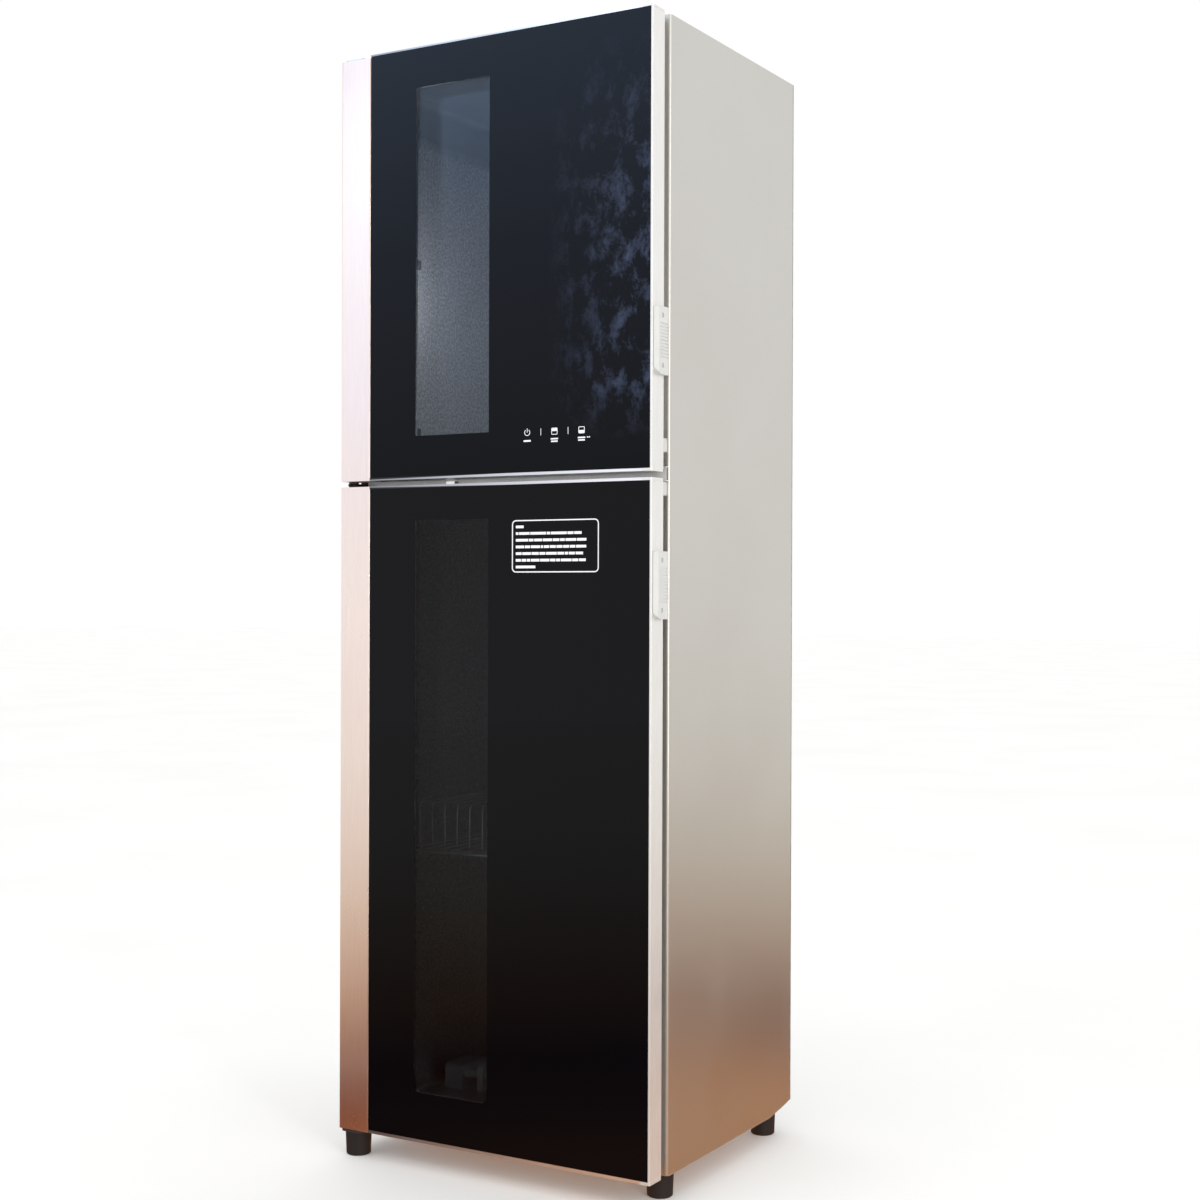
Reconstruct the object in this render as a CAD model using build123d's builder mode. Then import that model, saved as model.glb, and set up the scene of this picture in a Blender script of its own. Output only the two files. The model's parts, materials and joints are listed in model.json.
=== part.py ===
from build123d import *
import os

os.makedirs("parts", exist_ok=True)

# Two-door dish sterilizer cabinet on four feet. Millimetres, +Z up, +X towards the handles,
# the doors face -Y. The origin is on the floor, in the middle of the cabinet's footprint.

# ---------------------------------------------------------------- driving dimensions

# Overall
cabinet_width = 489.0
cabinet_height = 1470.0          # doors and body, without the feet
door_thickness = 31.0
seal_gap = 16.0                  # between the doors' backs and the front of the body
body_depth = 373.5
floor_clearance = 37.0           # floor to the underside of the doors
lower_door_height = 882.0
door_gap = 8.0                   # between the two doors

# Sheets and fits
panel_sheet = 1.0                # side panels and rear cover
pan_sheet = 1.2
frame_sheet = 1.0
frame_seam = 0.1                 # hair line where the frame's strips butt together
liner_sheet = 0.8
top_sheet = 0.8
extrusion_wall = 1.8             # aluminium stiles and rails
seal_clearance = 0.3             # closed gasket to the face that it meets
running_clearance = 0.05         # hinge pin in its bush, on the radius
slide_clearance = 0.3            # rack or tray to what it slides on

# Body shape
wall_thickness = 33.0            # outer panel to chamber, at both sides
rear_wall_thickness = 36.0
hem_flange = 20.0
hem_radius = 3.5
rear_flange = 14.0
bend_radius = 1.5
kick_depth = 68.0                # sloped corner at the back of the base
kick_height = 9.0
kick_radius = 13.0
pan_flange = 14.0
flange_relief = 5.0              # flanges end short of the side panels' bends

# Chambers
base_wall = 20.0                 # underside of the doors to the lower chamber's floor
middle_wall = 29.0               # each door's edge at the gap to the chamber behind that door
top_wall = 28.0
chamber_corner = 12.0

# Doors
trim_width = 50.0                # metal strip on the hinge side
trim_glass_gap = 1.0
glass_thickness = 4.0
stile_lip = 2.6                  # bright edge at the handle side of the glass
stile_return = 14.0
stile_edge = 1.2
trim_edge = 1.6
trim_bend = 1.0
glass_ledge = stile_return - stile_lip
wide_lip = 3.6                   # bright edges where the two doors meet
base_lip = 4.0
top_lip = 2.0
inner_panel_sheet = 1.2
inner_pane_thickness = 3.0
inner_pane_overlap = 8.0
hinge_block_height = 24.0
cap_proud = 0.4
cap_corner = 3.0
block_corner = 1.2

# Windows in the doors
window_left = 127.0
window_width = 118.0
upper_window_low_margin = 58.0   # window to the door's lower edge
upper_window_high_margin = 55.0
lower_window_low_margin = 67.0
lower_window_high_margin = 47.0
window_reveal = 26.0             # opening in the inner panel beyond the clear part of the glass
window_corner = 12.0

# Gaskets
gasket_width = 14.0
gasket_neck = 8.0
gasket_foot = 3.0
gasket_bulb = 5.5
gasket_side_inset = 17.0
gasket_bottom_inset = 4.0
gasket_rail_inset = 13.0
gasket_top_inset = 12.0

# Hinges
pivot_from_left = 9.0
pivot_from_front = 18.0
pin_radius = 3.0
pin_reach = 13.0
bush_radius = 5.0
bush_length = 16.0
bush_flange_radius = 6.8
bush_play = 0.4
mid_hinge_sheet = 3.0
mid_hinge_width = 15.4
mid_hinge_flange = 36.0
lower_hinge_sheet = 3.0
lower_hinge_width = 44.0
top_hinge_sheet = 2.4
top_hinge_width = 45.0
top_hinge_gap = 1.0
hinge_seat = 45.0                # how far a bracket reaches over the body
hinge_screw_radius = 2.0
hinge_screw_head = 3.8
hinge_screw_length = 10.0
mid_screw_offset = 12.0
bracket_screws = ((13.0, 31.0), (34.0, 13.0), (34.0, 35.0))    # from the left side, behind the body's front
bracket_side_gap = 1.2           # top bracket to the cabinet's left side
top_hinge_front = 5.0            # behind the glass front
top_hinge_nose = 12.0
top_hinge_corner = 6.0
lower_hinge_side_gap = 0.6
lower_hinge_front = 1.5
lower_hinge_nose = (8.0, 38.5)
lower_hinge_corner = 8.0
bracket_rear_corner = 3.0

# Centre rail and catches
rail_height = 19.0
rail_offset = 2.5                # the rail's middle above the gap's middle
rail_depth = 8.0
rail_sheet = 1.2
sensor_from_left = 152.0
sensor_size = (17.0, 3.0, 4.0)
sensor_corner = 1.0
catch_width = 12.0
catch_height = 18.0
catch_inset = 4.0
catch_play = 0.6
catch_corner = 2.0

# Handles
handle_length = 85.0
handle_proud = 6.0
handle_start = 2.5
handle_overhang = 2.5
handle_slant = 5.0
handle_tail_radius = 13.0
handle_edge_radius = 2.0
grip_ribs = 11
grip_pitch = 4.2
grip_groove = 2.0
grip_groove_depth = 0.8
grip_width = 20.0
handle_screw_radius = 2.6
handle_screw_sink = 1.6
handle_screw_inset = 11.0
handle_screw_offset = 4.0
handle_screw_play = 0.4
handle_root_radius = 0.5
handle_head_radius = 4.0
upper_handle_rise = 121.0        # grip above the upper door's lower edge
lower_handle_drop = 92.0         # grip below the lower door's upper edge

# Feet
foot_top_radius = 18.0
foot_bottom_radius = 16.8
foot_edge = 1.5
foot_recess_radius = 7.0
foot_recess_depth = 18.0
foot_bore_radius = 3.1
front_left_foot = (19.0, 20.0)         # from the left side, from the glass front
front_right_foot = (27.0, 77.0)        # from the right side, from the glass front
rear_foot = (31.0, 27.5)               # from either side, from the back
foot_seat_size = 40.0
foot_screw_radius = 3.0
foot_screw_head = 5.5
foot_screw_head_height = 3.0

# Racks
frame_wire = 5.0
floor_wire = 3.0
weld_sink = 0.5
rack_side_play = 6.0
rack_front_inset = 24.0
rack_rear_inset = 14.0
rack_corner = 15.0
floor_wire_pitch = 21.0
dish_rack_rise = 360.0           # chamber floor to the rack's frame
dish_hoop_height = 58.0
dish_hoop_inset = (27.0, 40.5)   # from the rack's front and rear
dish_hoop_bend = 7.0
upper_rack_rise = 26.0
hook_rises = (39.5, 279.5)       # empty wall hooks above the upper chamber's floor
hook_reach = 9.0
hook_height = 13.0
hook_arm = 4.5
hook_tip = 3.5
hook_width = 8.0
hook_edge = 1.0
peg_radius = 3.5
peg_head_radius = 5.5
peg_head = 1.6
peg_reach = 11.0
peg_inset = (76.0, 49.5)         # from the chamber's mouth and rear wall

# Drip tray
tray_height = 14.0
tray_sheet = 0.8
tray_side_play = 9.0
tray_front_inset = 12.0
tray_rear_inset = 20.0
tray_rim = 5.0
tray_corner = 10.0

# Heating in the lower chamber
tube_radius = 6.0
tube_wall = 1.0
tube_level = 42.0
tube_front = 200.0
tube_pitch = 34.0
tube_cap_radius = 7.5
tube_cap_length = 22.0
tube_in_cap = 8.0
tube_box_gap = 1.0
heater_box_inset = 14.0
heater_box_width = 30.0
heater_box_height = 34.0
heater_box_margin = 14.0
heater_sheet = 1.0
heater_box_radius = 7.0
heater_root_radius = 0.5
clip_offset = 59.0
clip_width = 9.0
clip_rise = 10.0
clip_margin = 4.0
clip_corner = 8.0
clip_play = 0.2
reflector_dip = 10.0
reflector_margin = 10.0

# Lamp in the upper chamber
lamp_radius = 8.0
lamp_length = 220.0
lamp_from_ceiling = 34.0
lamp_from_rear = 24.0
lamp_holder_size = 26.0
lamp_holder_width = 14.0
guard_sheet = 1.0
guard_margin = 12.0
guard_slots = 9
guard_slot_width = 14.0
guard_corner = 4.0

# Hidden electrics
power_box_size = (150.0, 110.0, 44.0)
power_box_from_front = 120.0
power_box_corner = 5.0
thermostat_radius = 11.0
thermostat_height = 12.0
touch_board_size = (112.0, 1.6, 34.0)
touch_board_corner = 3.0
touch_board_place = (143.0, 53.0)      # from the right side, above the upper door's lower edge
gland_radius = 9.0
gland_flange_radius = 13.0
gland_bore_radius = 4.0
gland_flange = 3.0
gland_length = 14.0
gland_place = (70.0, 120.0)            # from the left side, above the doors' underside
insulation_gap = 2.0

# Rear cover
vent_size = (46.0, 5.0)
vent_columns = 3
vent_rows = 5
vent_spacing = (62.0, 16.0)
cover_screw_radius = 3.5
cover_screw_head = 1.8
cover_screw_inset = 9.0
cover_screw_rows = 4

# ---------------------------------------------------------------- derived places

left = -cabinet_width / 2
right = cabinet_width / 2
overall_depth = door_thickness + seal_gap + body_depth
front = -overall_depth / 2
door_back = front + door_thickness
body_front = door_back + seal_gap
rear = overall_depth / 2
bottom = floor_clearance
top = bottom + cabinet_height
lower_door_top = bottom + lower_door_height
upper_door_bottom = lower_door_top + door_gap
gap_middle = lower_door_top + door_gap / 2

frame_front = body_front + panel_sheet
liner_front = frame_front + frame_sheet
chamber_left = left + wall_thickness
chamber_right = right - wall_thickness
chamber_width = chamber_right - chamber_left
chamber_rear = rear - rear_wall_thickness
foot_top = bottom - pan_sheet - lower_hinge_sheet
pivot_x = left + pivot_from_left
pivot_y = front + pivot_from_front
rail_bottom = gap_middle + rail_offset - rail_height / 2

# Heights above the underside of the doors
lower_chamber_floor = base_wall
lower_chamber_ceiling = lower_door_height - middle_wall
upper_chamber_floor = lower_door_height + door_gap + middle_wall
upper_chamber_ceiling = cabinet_height - top_wall
upper_door_low = lower_door_height + door_gap
dish_rack_level = lower_chamber_floor + dish_rack_rise
upper_rack_level = upper_chamber_floor + upper_rack_rise


def across(distance):
    """X at a distance from the cabinet's left side."""
    return left + distance


def deep(distance):
    """Y at a distance behind the glass front."""
    return front + distance


def level(height):
    """Z at a height above the underside of the doors."""
    return bottom + height


# Centres of the feet and of the hinge-side screws, on the ground plan
foot_front_left = (across(front_left_foot[0]), deep(front_left_foot[1]))
foot_front_right = (right - front_right_foot[0], deep(front_right_foot[1]))
foot_rear_left = (left + rear_foot[0], rear - rear_foot[1])
foot_rear_right = (right - rear_foot[0], rear - rear_foot[1])


def front_plane(y):
    """Upright plane at depth y. A negative extrusion from it runs towards the back."""
    return Plane.XZ.offset(-y)


def block(x_span, y_span, z_span, mode=Mode.ADD):
    """Box between three pairs of limits, in the builder that is open."""
    spans = (x_span, y_span, z_span)
    with Locations(tuple(sum(span) / 2 for span in spans)):
        Box(*[abs(span[1] - span[0]) for span in spans], mode=mode)


def save(piece, node):
    """Name a finished piece and write it."""
    piece.part.label = node
    export_step(piece.part, f"parts/{node}.step")


# ---------------------------------------------------------------- hinge screws

# One countersunk screw, its flat head at the origin and its shank downwards
with BuildPart() as one_screw:
    with BuildSketch():
        Circle(hinge_screw_head)
    extrude(amount=-(hinge_screw_head - hinge_screw_radius), taper=45)
    with BuildSketch():
        Circle(hinge_screw_radius)
    extrude(amount=-hinge_screw_length)

mid_screw_front = body_front - mid_hinge_sheet
bracket_plan = [(across(side_inset), body_front + front_inset) for side_inset, front_inset in bracket_screws]
screw_places = [
    *[Location((*place, top)) for place in bracket_plan],
    *[Location((*place, foot_top), (180, 0, 0)) for place in bracket_plan],
    *[Location((pivot_x, mid_screw_front, gap_middle + offset), (90, 0, 0))
      for offset in (-mid_screw_offset, mid_screw_offset)],
]
with BuildPart() as hinge_screws:
    with Locations(*screw_places):
        add(one_screw.part)

# ---------------------------------------------------------------- body shell

kick_path = [
    (body_front + panel_sheet + frame_sheet + pan_sheet / 2, bottom + pan_flange),
    (body_front + panel_sheet + frame_sheet + pan_sheet / 2, bottom - pan_sheet / 2),
    (rear - kick_depth, bottom - pan_sheet / 2),
    (rear - 2 * panel_sheet - pan_sheet / 2, bottom + kick_height),
    (rear - 2 * panel_sheet - pan_sheet / 2, bottom + kick_height + pan_flange),
]


def kick_level(y):
    """Height of the base pan's middle surface on the sloped corner."""
    low, high = kick_path[2], kick_path[3]
    return low[1] + (high[1] - low[1]) * (y - low[0]) / (high[0] - low[0])


# Base pan: one bent sheet with a front flange, a sloped rear corner and seats for the feet
with BuildPart() as base_pan:
    with BuildSketch(Plane.YZ):
        with BuildLine():
            FilletPolyline(*kick_path, radius=[bend_radius, kick_radius, kick_radius])
        trace(line_width=pan_sheet)
    extrude(amount=cabinet_width / 2, both=True)
    for side in (-1, 1):
        side_span = (side * (cabinet_width / 2 - flange_relief), side * (cabinet_width / 2 + flange_relief))
        block(side_span, (body_front, kick_path[2][0] - kick_radius), (bottom, bottom + pan_flange),
              mode=Mode.SUBTRACT)
        block(side_span, (kick_path[3][0] - pan_sheet, rear),
              (bottom + kick_height + pan_sheet, bottom + kick_height + pan_flange), mode=Mode.SUBTRACT)
    half_seat = foot_seat_size / 2
    seat_x, seat_y = foot_front_right
    block((seat_x - half_seat, seat_x + half_seat), (seat_y - half_seat, seat_y + half_seat),
          (foot_top, bottom - pan_sheet / 2))
    for seat_x, seat_y in (foot_rear_left, foot_rear_right):
        with BuildSketch(Plane.YZ.offset(seat_x - half_seat)):
            with BuildLine():
                Polyline(
                    (seat_y - half_seat, foot_top),
                    (seat_y + foot_top_radius, foot_top),
                    (seat_y + foot_top_radius, kick_level(seat_y + foot_top_radius)),
                    (seat_y - half_seat, kick_level(seat_y - half_seat)),
                    close=True,
                )
            make_face()
        extrude(amount=foot_seat_size)
    for centre in (foot_front_right, foot_rear_left, foot_rear_right):
        with Locations((*centre, foot_top)):
            Cylinder(foot_screw_radius, 2 * lower_hinge_sheet, mode=Mode.SUBTRACT)
    add(hinge_screws.part, mode=Mode.SUBTRACT)


def side_panel(side):
    """Outer side: a rounded hem in front, a flange behind and the sloped corner below."""
    outer = side * cabinet_width / 2
    middle = outer - side * panel_sheet / 2
    flange_y = rear - panel_sheet * 1.5
    with BuildPart() as panel:
        with BuildSketch(Plane.XY.offset(bottom)):
            with BuildLine():
                FilletPolyline(
                    (outer - side * hem_flange, body_front + panel_sheet / 2),
                    (middle, body_front + panel_sheet / 2),
                    (middle, flange_y),
                    (outer - side * rear_flange, flange_y),
                    radius=[hem_radius, bend_radius],
                )
            trace(line_width=panel_sheet)
        extrude(amount=cabinet_height)
        with BuildSketch(Plane.YZ):
            with BuildLine():
                FilletPolyline(
                    (body_front - pan_flange, top + pan_flange),
                    (body_front - pan_flange, kick_path[2][1]),
                    kick_path[2],
                    kick_path[3],
                    (rear + pan_flange, kick_path[3][1] + kick_height),
                    (rear + pan_flange, top + pan_flange),
                    radius=[bend_radius, kick_radius, kick_radius] + 3 * [bend_radius],
                    close=True,
                )
            make_face()
        extrude(amount=cabinet_width, both=True, mode=Mode.INTERSECT)
        add(base_pan.part, mode=Mode.SUBTRACT)
        add(hinge_screws.part, mode=Mode.SUBTRACT)
    return panel


side_panel_left = side_panel(-1)
side_panel_right = side_panel(1)

# Rear cover: flat sheet with vent slots and a hole for the cord gland
vent_middle = level((lower_chamber_ceiling + upper_chamber_floor) / 2)
with BuildPart() as rear_cover:
    block((left, right), (rear - panel_sheet, rear), (level(kick_height), top))
    with BuildSketch(front_plane(rear)):
        for height in (vent_middle, level(upper_chamber_ceiling - vent_spacing[0])):
            with Locations((0, height)):
                with GridLocations(*vent_spacing, vent_columns, vent_rows):
                    SlotOverall(*vent_size)
        with Locations((across(gland_place[0]), level(gland_place[1]))):
            Circle(gland_radius)
    extrude(amount=2 * panel_sheet, both=True, mode=Mode.SUBTRACT)

with BuildPart() as rear_cover_screws:
    screw_columns = (left + cover_screw_inset, right - cover_screw_inset)
    first_row = level(kick_height + 2 * cover_screw_inset)
    last_row = top - 2 * cover_screw_inset
    for row in range(cover_screw_rows):
        height = first_row + (last_row - first_row) * row / (cover_screw_rows - 1)
        with BuildSketch(front_plane(rear)):
            with Locations(*[(x, height) for x in screw_columns]):
                Circle(cover_screw_radius)
        extrude(amount=-cover_screw_head)

# Top cover: inset between the side panels, with a pocket for the hinge bracket
pocket_right = across(top_hinge_width + 1)
pocket_rear = body_front + hinge_seat + 1
cover_front = body_front + hem_radius + panel_sheet
cover_rear = rear - 2 * panel_sheet - bend_radius
with BuildPart() as top_cover:
    inner_left = left + panel_sheet
    inner_right = right - panel_sheet
    block((inner_left, inner_right), (cover_front, cover_rear), (top - pan_flange, top))
    block((inner_left + top_sheet, inner_right - top_sheet),
          (cover_front + top_sheet, cover_rear - top_sheet),
          (top - pan_flange, top - top_sheet), mode=Mode.SUBTRACT)
    block((pocket_right, right - hem_flange - panel_sheet), (body_front, cover_front),
          (top - top_sheet, top))
    block((left + rear_flange + panel_sheet, right - rear_flange - panel_sheet),
          (cover_rear, rear - panel_sheet), (top - top_sheet, top))
    block((inner_left, pocket_right + top_sheet), (cover_front, pocket_rear + top_sheet),
          (top - top_hinge_sheet - top_sheet, top))
    block((inner_left, pocket_right), (cover_front, pocket_rear),
          (top - top_hinge_sheet, top), mode=Mode.SUBTRACT)
    add(hinge_screws.part, mode=Mode.SUBTRACT)

# The left panel's hem gives way where the top bracket crosses it
with side_panel_left:
    block((left + panel_sheet, across(hem_flange + 1)), (body_front, body_front + hinge_seat),
          (top - top_hinge_sheet, top), mode=Mode.SUBTRACT)

# Front frame: two upright strips and three cross strips of sheet that the gaskets close against
chambers = {
    "lower": (lower_chamber_floor, lower_chamber_ceiling),
    "upper": (upper_chamber_floor, upper_chamber_ceiling),
}
with BuildPart() as front_frame:
    frame_half = cabinet_width / 2 - panel_sheet / 2 - hem_radius
    block((-frame_half, frame_half), (frame_front, liner_front),
          (bottom, top - top_hinge_sheet - top_sheet))
    with BuildSketch(front_plane(frame_front)):
        for floor, ceiling in chambers.values():
            with Locations((0, level((floor + ceiling) / 2))):
                RectangleRounded(chamber_width, ceiling - floor, chamber_corner)
    extrude(amount=-frame_sheet, mode=Mode.SUBTRACT)
    for seam in (chamber_left, chamber_right):
        block((seam - frame_seam / 2, seam + frame_seam / 2), (frame_front, liner_front),
              (bottom, top), mode=Mode.SUBTRACT)
    add(hinge_screws.part, mode=Mode.SUBTRACT)


def liner(floor, ceiling):
    """Five-sided chamber of bright sheet, open to the front."""
    height = ceiling - floor
    depth = chamber_rear - liner_front
    grow = 2 * liner_sheet
    with BuildPart() as shell:
        with BuildSketch(front_plane(liner_front)):
            with Locations((0, level(floor + height / 2))):
                RectangleRounded(chamber_width + grow, height + grow, chamber_corner + liner_sheet)
        extrude(amount=-(depth + liner_sheet))
        with BuildSketch(front_plane(liner_front)):
            with Locations((0, level(floor + height / 2))):
                RectangleRounded(chamber_width, height, chamber_corner)
        extrude(amount=-depth, mode=Mode.SUBTRACT)
    return shell


upper_liner = liner(*chambers["upper"])
lower_liner = liner(*chambers["lower"])

# Glass-wool mats between the liners and the outer sheets
with BuildPart() as insulation:
    mat_low = level(lower_chamber_floor)
    mat_high = level(upper_chamber_ceiling)
    mat_front = body_front + hinge_screw_length + insulation_gap
    mat_rear = chamber_rear + liner_sheet
    for side in (-1, 1):
        outer = side * (cabinet_width / 2 - panel_sheet)
        inner = side * (chamber_width / 2 + liner_sheet)
        block((outer, inner), (mat_front, mat_rear), (mat_low, mat_high))
    block((chamber_left, chamber_right), (mat_rear, rear - panel_sheet - insulation_gap),
          (level(gland_place[1]) + gland_flange_radius, level(lower_chamber_ceiling)))

# Centre rail: open channel that fills the gap behind the meeting doors
rail_front = body_front - rail_depth
rail_left = across(pivot_from_left + mid_hinge_width / 2 + 1)
with BuildPart() as centre_rail:
    with BuildSketch(Plane.YZ.offset(rail_left)):
        with BuildLine():
            FilletPolyline(
                (body_front, rail_bottom + rail_sheet / 2),
                (rail_front + rail_sheet / 2, rail_bottom + rail_sheet / 2),
                (rail_front + rail_sheet / 2, rail_bottom + rail_height - rail_sheet / 2),
                (body_front, rail_bottom + rail_height - rail_sheet / 2),
                radius=bend_radius,
            )
        trace(line_width=rail_sheet)
    extrude(amount=right - panel_sheet - rail_left)

# Door sensor on the centre rail, seen through the gap between the doors
with BuildPart() as door_sensor:
    sensor_x = across(sensor_from_left)
    block((sensor_x, sensor_x + sensor_size[0]), (rail_front - sensor_size[1], rail_front),
          (gap_middle - sensor_size[2] / 2, gap_middle + sensor_size[2] / 2))
    fillet(door_sensor.edges().filter_by(Axis.Y), sensor_corner)

# Magnetic catch blocks on the body, at the handle side
with BuildPart() as door_catches:
    catch_right = right - catch_inset
    for low in (rail_bottom - catch_height, rail_bottom + rail_height + catch_height):
        block((catch_right - catch_width, catch_right), (door_back + catch_play, body_front),
              (low, low + catch_height))
    fillet(door_catches.edges().filter_by(Axis.Y), catch_corner)


# ---------------------------------------------------------------- hinges

with BuildPart() as top_hinge:
    with BuildSketch(Plane.XY.offset(top - top_hinge_sheet)):
        with BuildLine():
            FilletPolyline(
                (across(bracket_side_gap), deep(top_hinge_front)),
                (across(top_hinge_width - top_hinge_nose), deep(top_hinge_front)),
                (across(top_hinge_width), deep(pivot_from_front)),
                (across(top_hinge_width), body_front + hinge_seat),
                (across(bracket_side_gap), body_front + hinge_seat),
                radius=3 * [top_hinge_corner] + 2 * [bracket_rear_corner],
                close=True,
            )
        make_face()
        with Locations((pivot_x, pivot_y)):
            Circle(pin_radius, mode=Mode.SUBTRACT)
    extrude(amount=top_hinge_sheet)
    add(hinge_screws.part, mode=Mode.SUBTRACT)

with BuildPart() as mid_hinge:
    with BuildSketch(Plane.XY.offset(gap_middle - mid_hinge_sheet / 2)):
        with Locations((pivot_x, pivot_y)):
            Circle(mid_hinge_width / 2)
        with Locations((pivot_x, (pivot_y + body_front) / 2)):
            Rectangle(mid_hinge_width, body_front - pivot_y)
        with Locations((pivot_x, pivot_y)):
            Circle(pin_radius, mode=Mode.SUBTRACT)
    extrude(amount=mid_hinge_sheet)
    block((pivot_x - mid_hinge_width / 2, pivot_x + mid_hinge_width / 2),
          (body_front - mid_hinge_sheet, body_front),
          (gap_middle - mid_hinge_flange / 2, gap_middle + mid_hinge_flange / 2))
    add(hinge_screws.part, mode=Mode.SUBTRACT)

with BuildPart() as lower_hinge:
    with BuildSketch(Plane.XY.offset(foot_top)):
        with BuildLine():
            FilletPolyline(
                (across(lower_hinge_side_gap), deep(lower_hinge_front)),
                (across(lower_hinge_width - lower_hinge_nose[0]), deep(lower_hinge_front)),
                (across(lower_hinge_width), deep(lower_hinge_front + lower_hinge_nose[1])),
                (across(lower_hinge_width), body_front + hinge_seat),
                (across(lower_hinge_side_gap), body_front + hinge_seat),
                radius=3 * [lower_hinge_corner] + 2 * [bracket_rear_corner],
                close=True,
            )
        make_face()
        with Locations((pivot_x, pivot_y)):
            Circle(pin_radius, mode=Mode.SUBTRACT)
        with Locations(foot_front_left):
            Circle(foot_screw_radius, mode=Mode.SUBTRACT)
    extrude(amount=lower_hinge_sheet)
    add(hinge_screws.part, mode=Mode.SUBTRACT)

# Pins, riveted into their brackets: one down, one both ways, one up
pin_spans = [
    (top - top_hinge_gap - top_hinge_sheet - pin_reach, top),
    (lower_door_top - pin_reach, upper_door_bottom + pin_reach),
    (foot_top, bottom + pin_reach),
]
with BuildPart() as hinge_pins:
    for low, high in pin_spans:
        with BuildSketch(Plane.XY.offset(low)):
            with Locations((pivot_x, pivot_y)):
                Circle(pin_radius)
        extrude(amount=high - low)


# ---------------------------------------------------------------- feet

def foot(places):
    """Tapered feet with a screw recess from below."""
    with BuildPart() as feet:
        for centre in places:
            with BuildSketch(Plane(origin=(*centre, 0), x_dir=(1, 0, 0), z_dir=(0, -1, 0))):
                with BuildLine():
                    Polyline(
                        (foot_recess_radius, 0),
                        (foot_bottom_radius - foot_edge, 0),
                        (foot_bottom_radius, foot_edge),
                        (foot_top_radius, foot_top),
                        (foot_bore_radius, foot_top),
                        (foot_bore_radius, foot_recess_depth),
                        (foot_recess_radius, foot_recess_depth),
                        close=True,
                    )
                make_face()
            revolve(axis=Axis((*centre, 0), (0, 0, 1)))
    return feet


front_feet = foot([foot_front_left, foot_front_right])
rear_feet = foot([foot_rear_left, foot_rear_right])

with BuildPart() as foot_screws:
    for centre in (foot_front_left, foot_front_right, foot_rear_left, foot_rear_right):
        with BuildSketch(Plane.XY.offset(foot_recess_depth)):
            with Locations(centre):
                Circle(foot_screw_head)
        extrude(amount=-foot_screw_head_height)
        with BuildSketch(Plane.XY.offset(foot_recess_depth)):
            with Locations(centre):
                Circle(foot_screw_radius)
        extrude(amount=foot_top + lower_hinge_sheet - foot_recess_depth)


# ---------------------------------------------------------------- doors

glass_left = across(trim_width + trim_glass_gap)
glass_right = right - stile_lip
lip_left = across(trim_width)
frame_left = across(trim_width + glass_ledge)
frame_right = right - stile_return


def door_trim(low, high):
    """Rose-gold stile on the hinge side, with a ledge behind the glass."""
    wall = extrusion_wall
    with BuildPart() as trim:
        with BuildSketch(Plane.XY.offset(low)):
            with BuildLine():
                FilletPolyline(
                    (across(trim_width + glass_ledge), deep(glass_thickness + wall / 2)),
                    (across(trim_width - wall / 2), deep(glass_thickness + wall / 2)),
                    (across(trim_width - wall / 2), deep(wall / 2)),
                    (across(wall / 2), deep(wall / 2)),
                    (across(wall / 2), door_back - wall / 2),
                    (across(stile_return), door_back - wall / 2),
                    radius=[trim_bend, trim_bend, trim_edge, trim_bend],
                )
            trace(line_width=wall)
        extrude(amount=high - low)
    return trim


def door_stile(low, high):
    """Bright stile on the handle side: front lip, glass ledge, side wall and rear return."""
    wall = extrusion_wall
    with BuildPart() as stile:
        block((right - stile_lip, right), (front, deep(glass_thickness + wall)), (low, high))
        block((frame_right, right), (deep(glass_thickness), deep(glass_thickness + wall)), (low, high))
        block((right - wall, right), (front, door_back), (low, high))
        block((right - stile_return, right), (door_back - wall, door_back), (low, high))
        outer_edges = stile.edges().filter_by(Axis.Z).group_by(Axis.X)[-1]
        fillet(outer_edges, stile_edge)
    return stile


def door_rails(low, high, low_lip, high_lip):
    """Bottom and top rails between the stiles, each with a bright lip and a glass ledge."""
    wall = extrusion_wall
    panel_front = door_back - inner_panel_sheet
    with BuildPart() as rails:
        for edge, inward, lip in ((low, 1, low_lip), (high, -1, high_lip)):
            block((lip_left, frame_right), (front, deep(glass_thickness)), (edge, edge + inward * lip))
            block((frame_left, frame_right), (deep(glass_thickness), deep(glass_thickness + wall)),
                  (edge, edge + inward * (lip + glass_ledge)))
            block((frame_left, frame_right), (deep(glass_thickness), panel_front),
                  (edge, edge + inward * wall))
            block((frame_left, frame_right), (panel_front - wall, panel_front),
                  (edge, edge + inward * stile_return))
    return rails


def door_inner_panel(low, high, trim_high, window_low, window_high):
    """Sheet that closes the door's back, with the window's opening."""
    window_middle = (across(window_left + window_width / 2), (window_low + window_high) / 2)
    opening_width = window_width + 2 * window_reveal
    opening_height = window_high - window_low + 2 * window_corner
    with BuildPart() as panel:
        block((across(stile_return), right - stile_return),
              (door_back - inner_panel_sheet, door_back), (low, high))
        with BuildSketch(front_plane(door_back)):
            with Locations(window_middle):
                RectangleRounded(opening_width, opening_height, window_corner)
        extrude(amount=inner_panel_sheet, mode=Mode.SUBTRACT)
        if trim_high < high:
            block((left, lip_left), (door_back - inner_panel_sheet, door_back), (trim_high, high),
                  mode=Mode.SUBTRACT)
    with BuildPart() as pane:
        pane_back = door_back - inner_panel_sheet
        with BuildSketch(front_plane(pane_back)):
            with Locations(window_middle):
                RectangleRounded(opening_width + 2 * inner_pane_overlap,
                                 opening_height + 2 * inner_pane_overlap, window_corner)
        extrude(amount=inner_pane_thickness)
    return panel, pane


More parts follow.
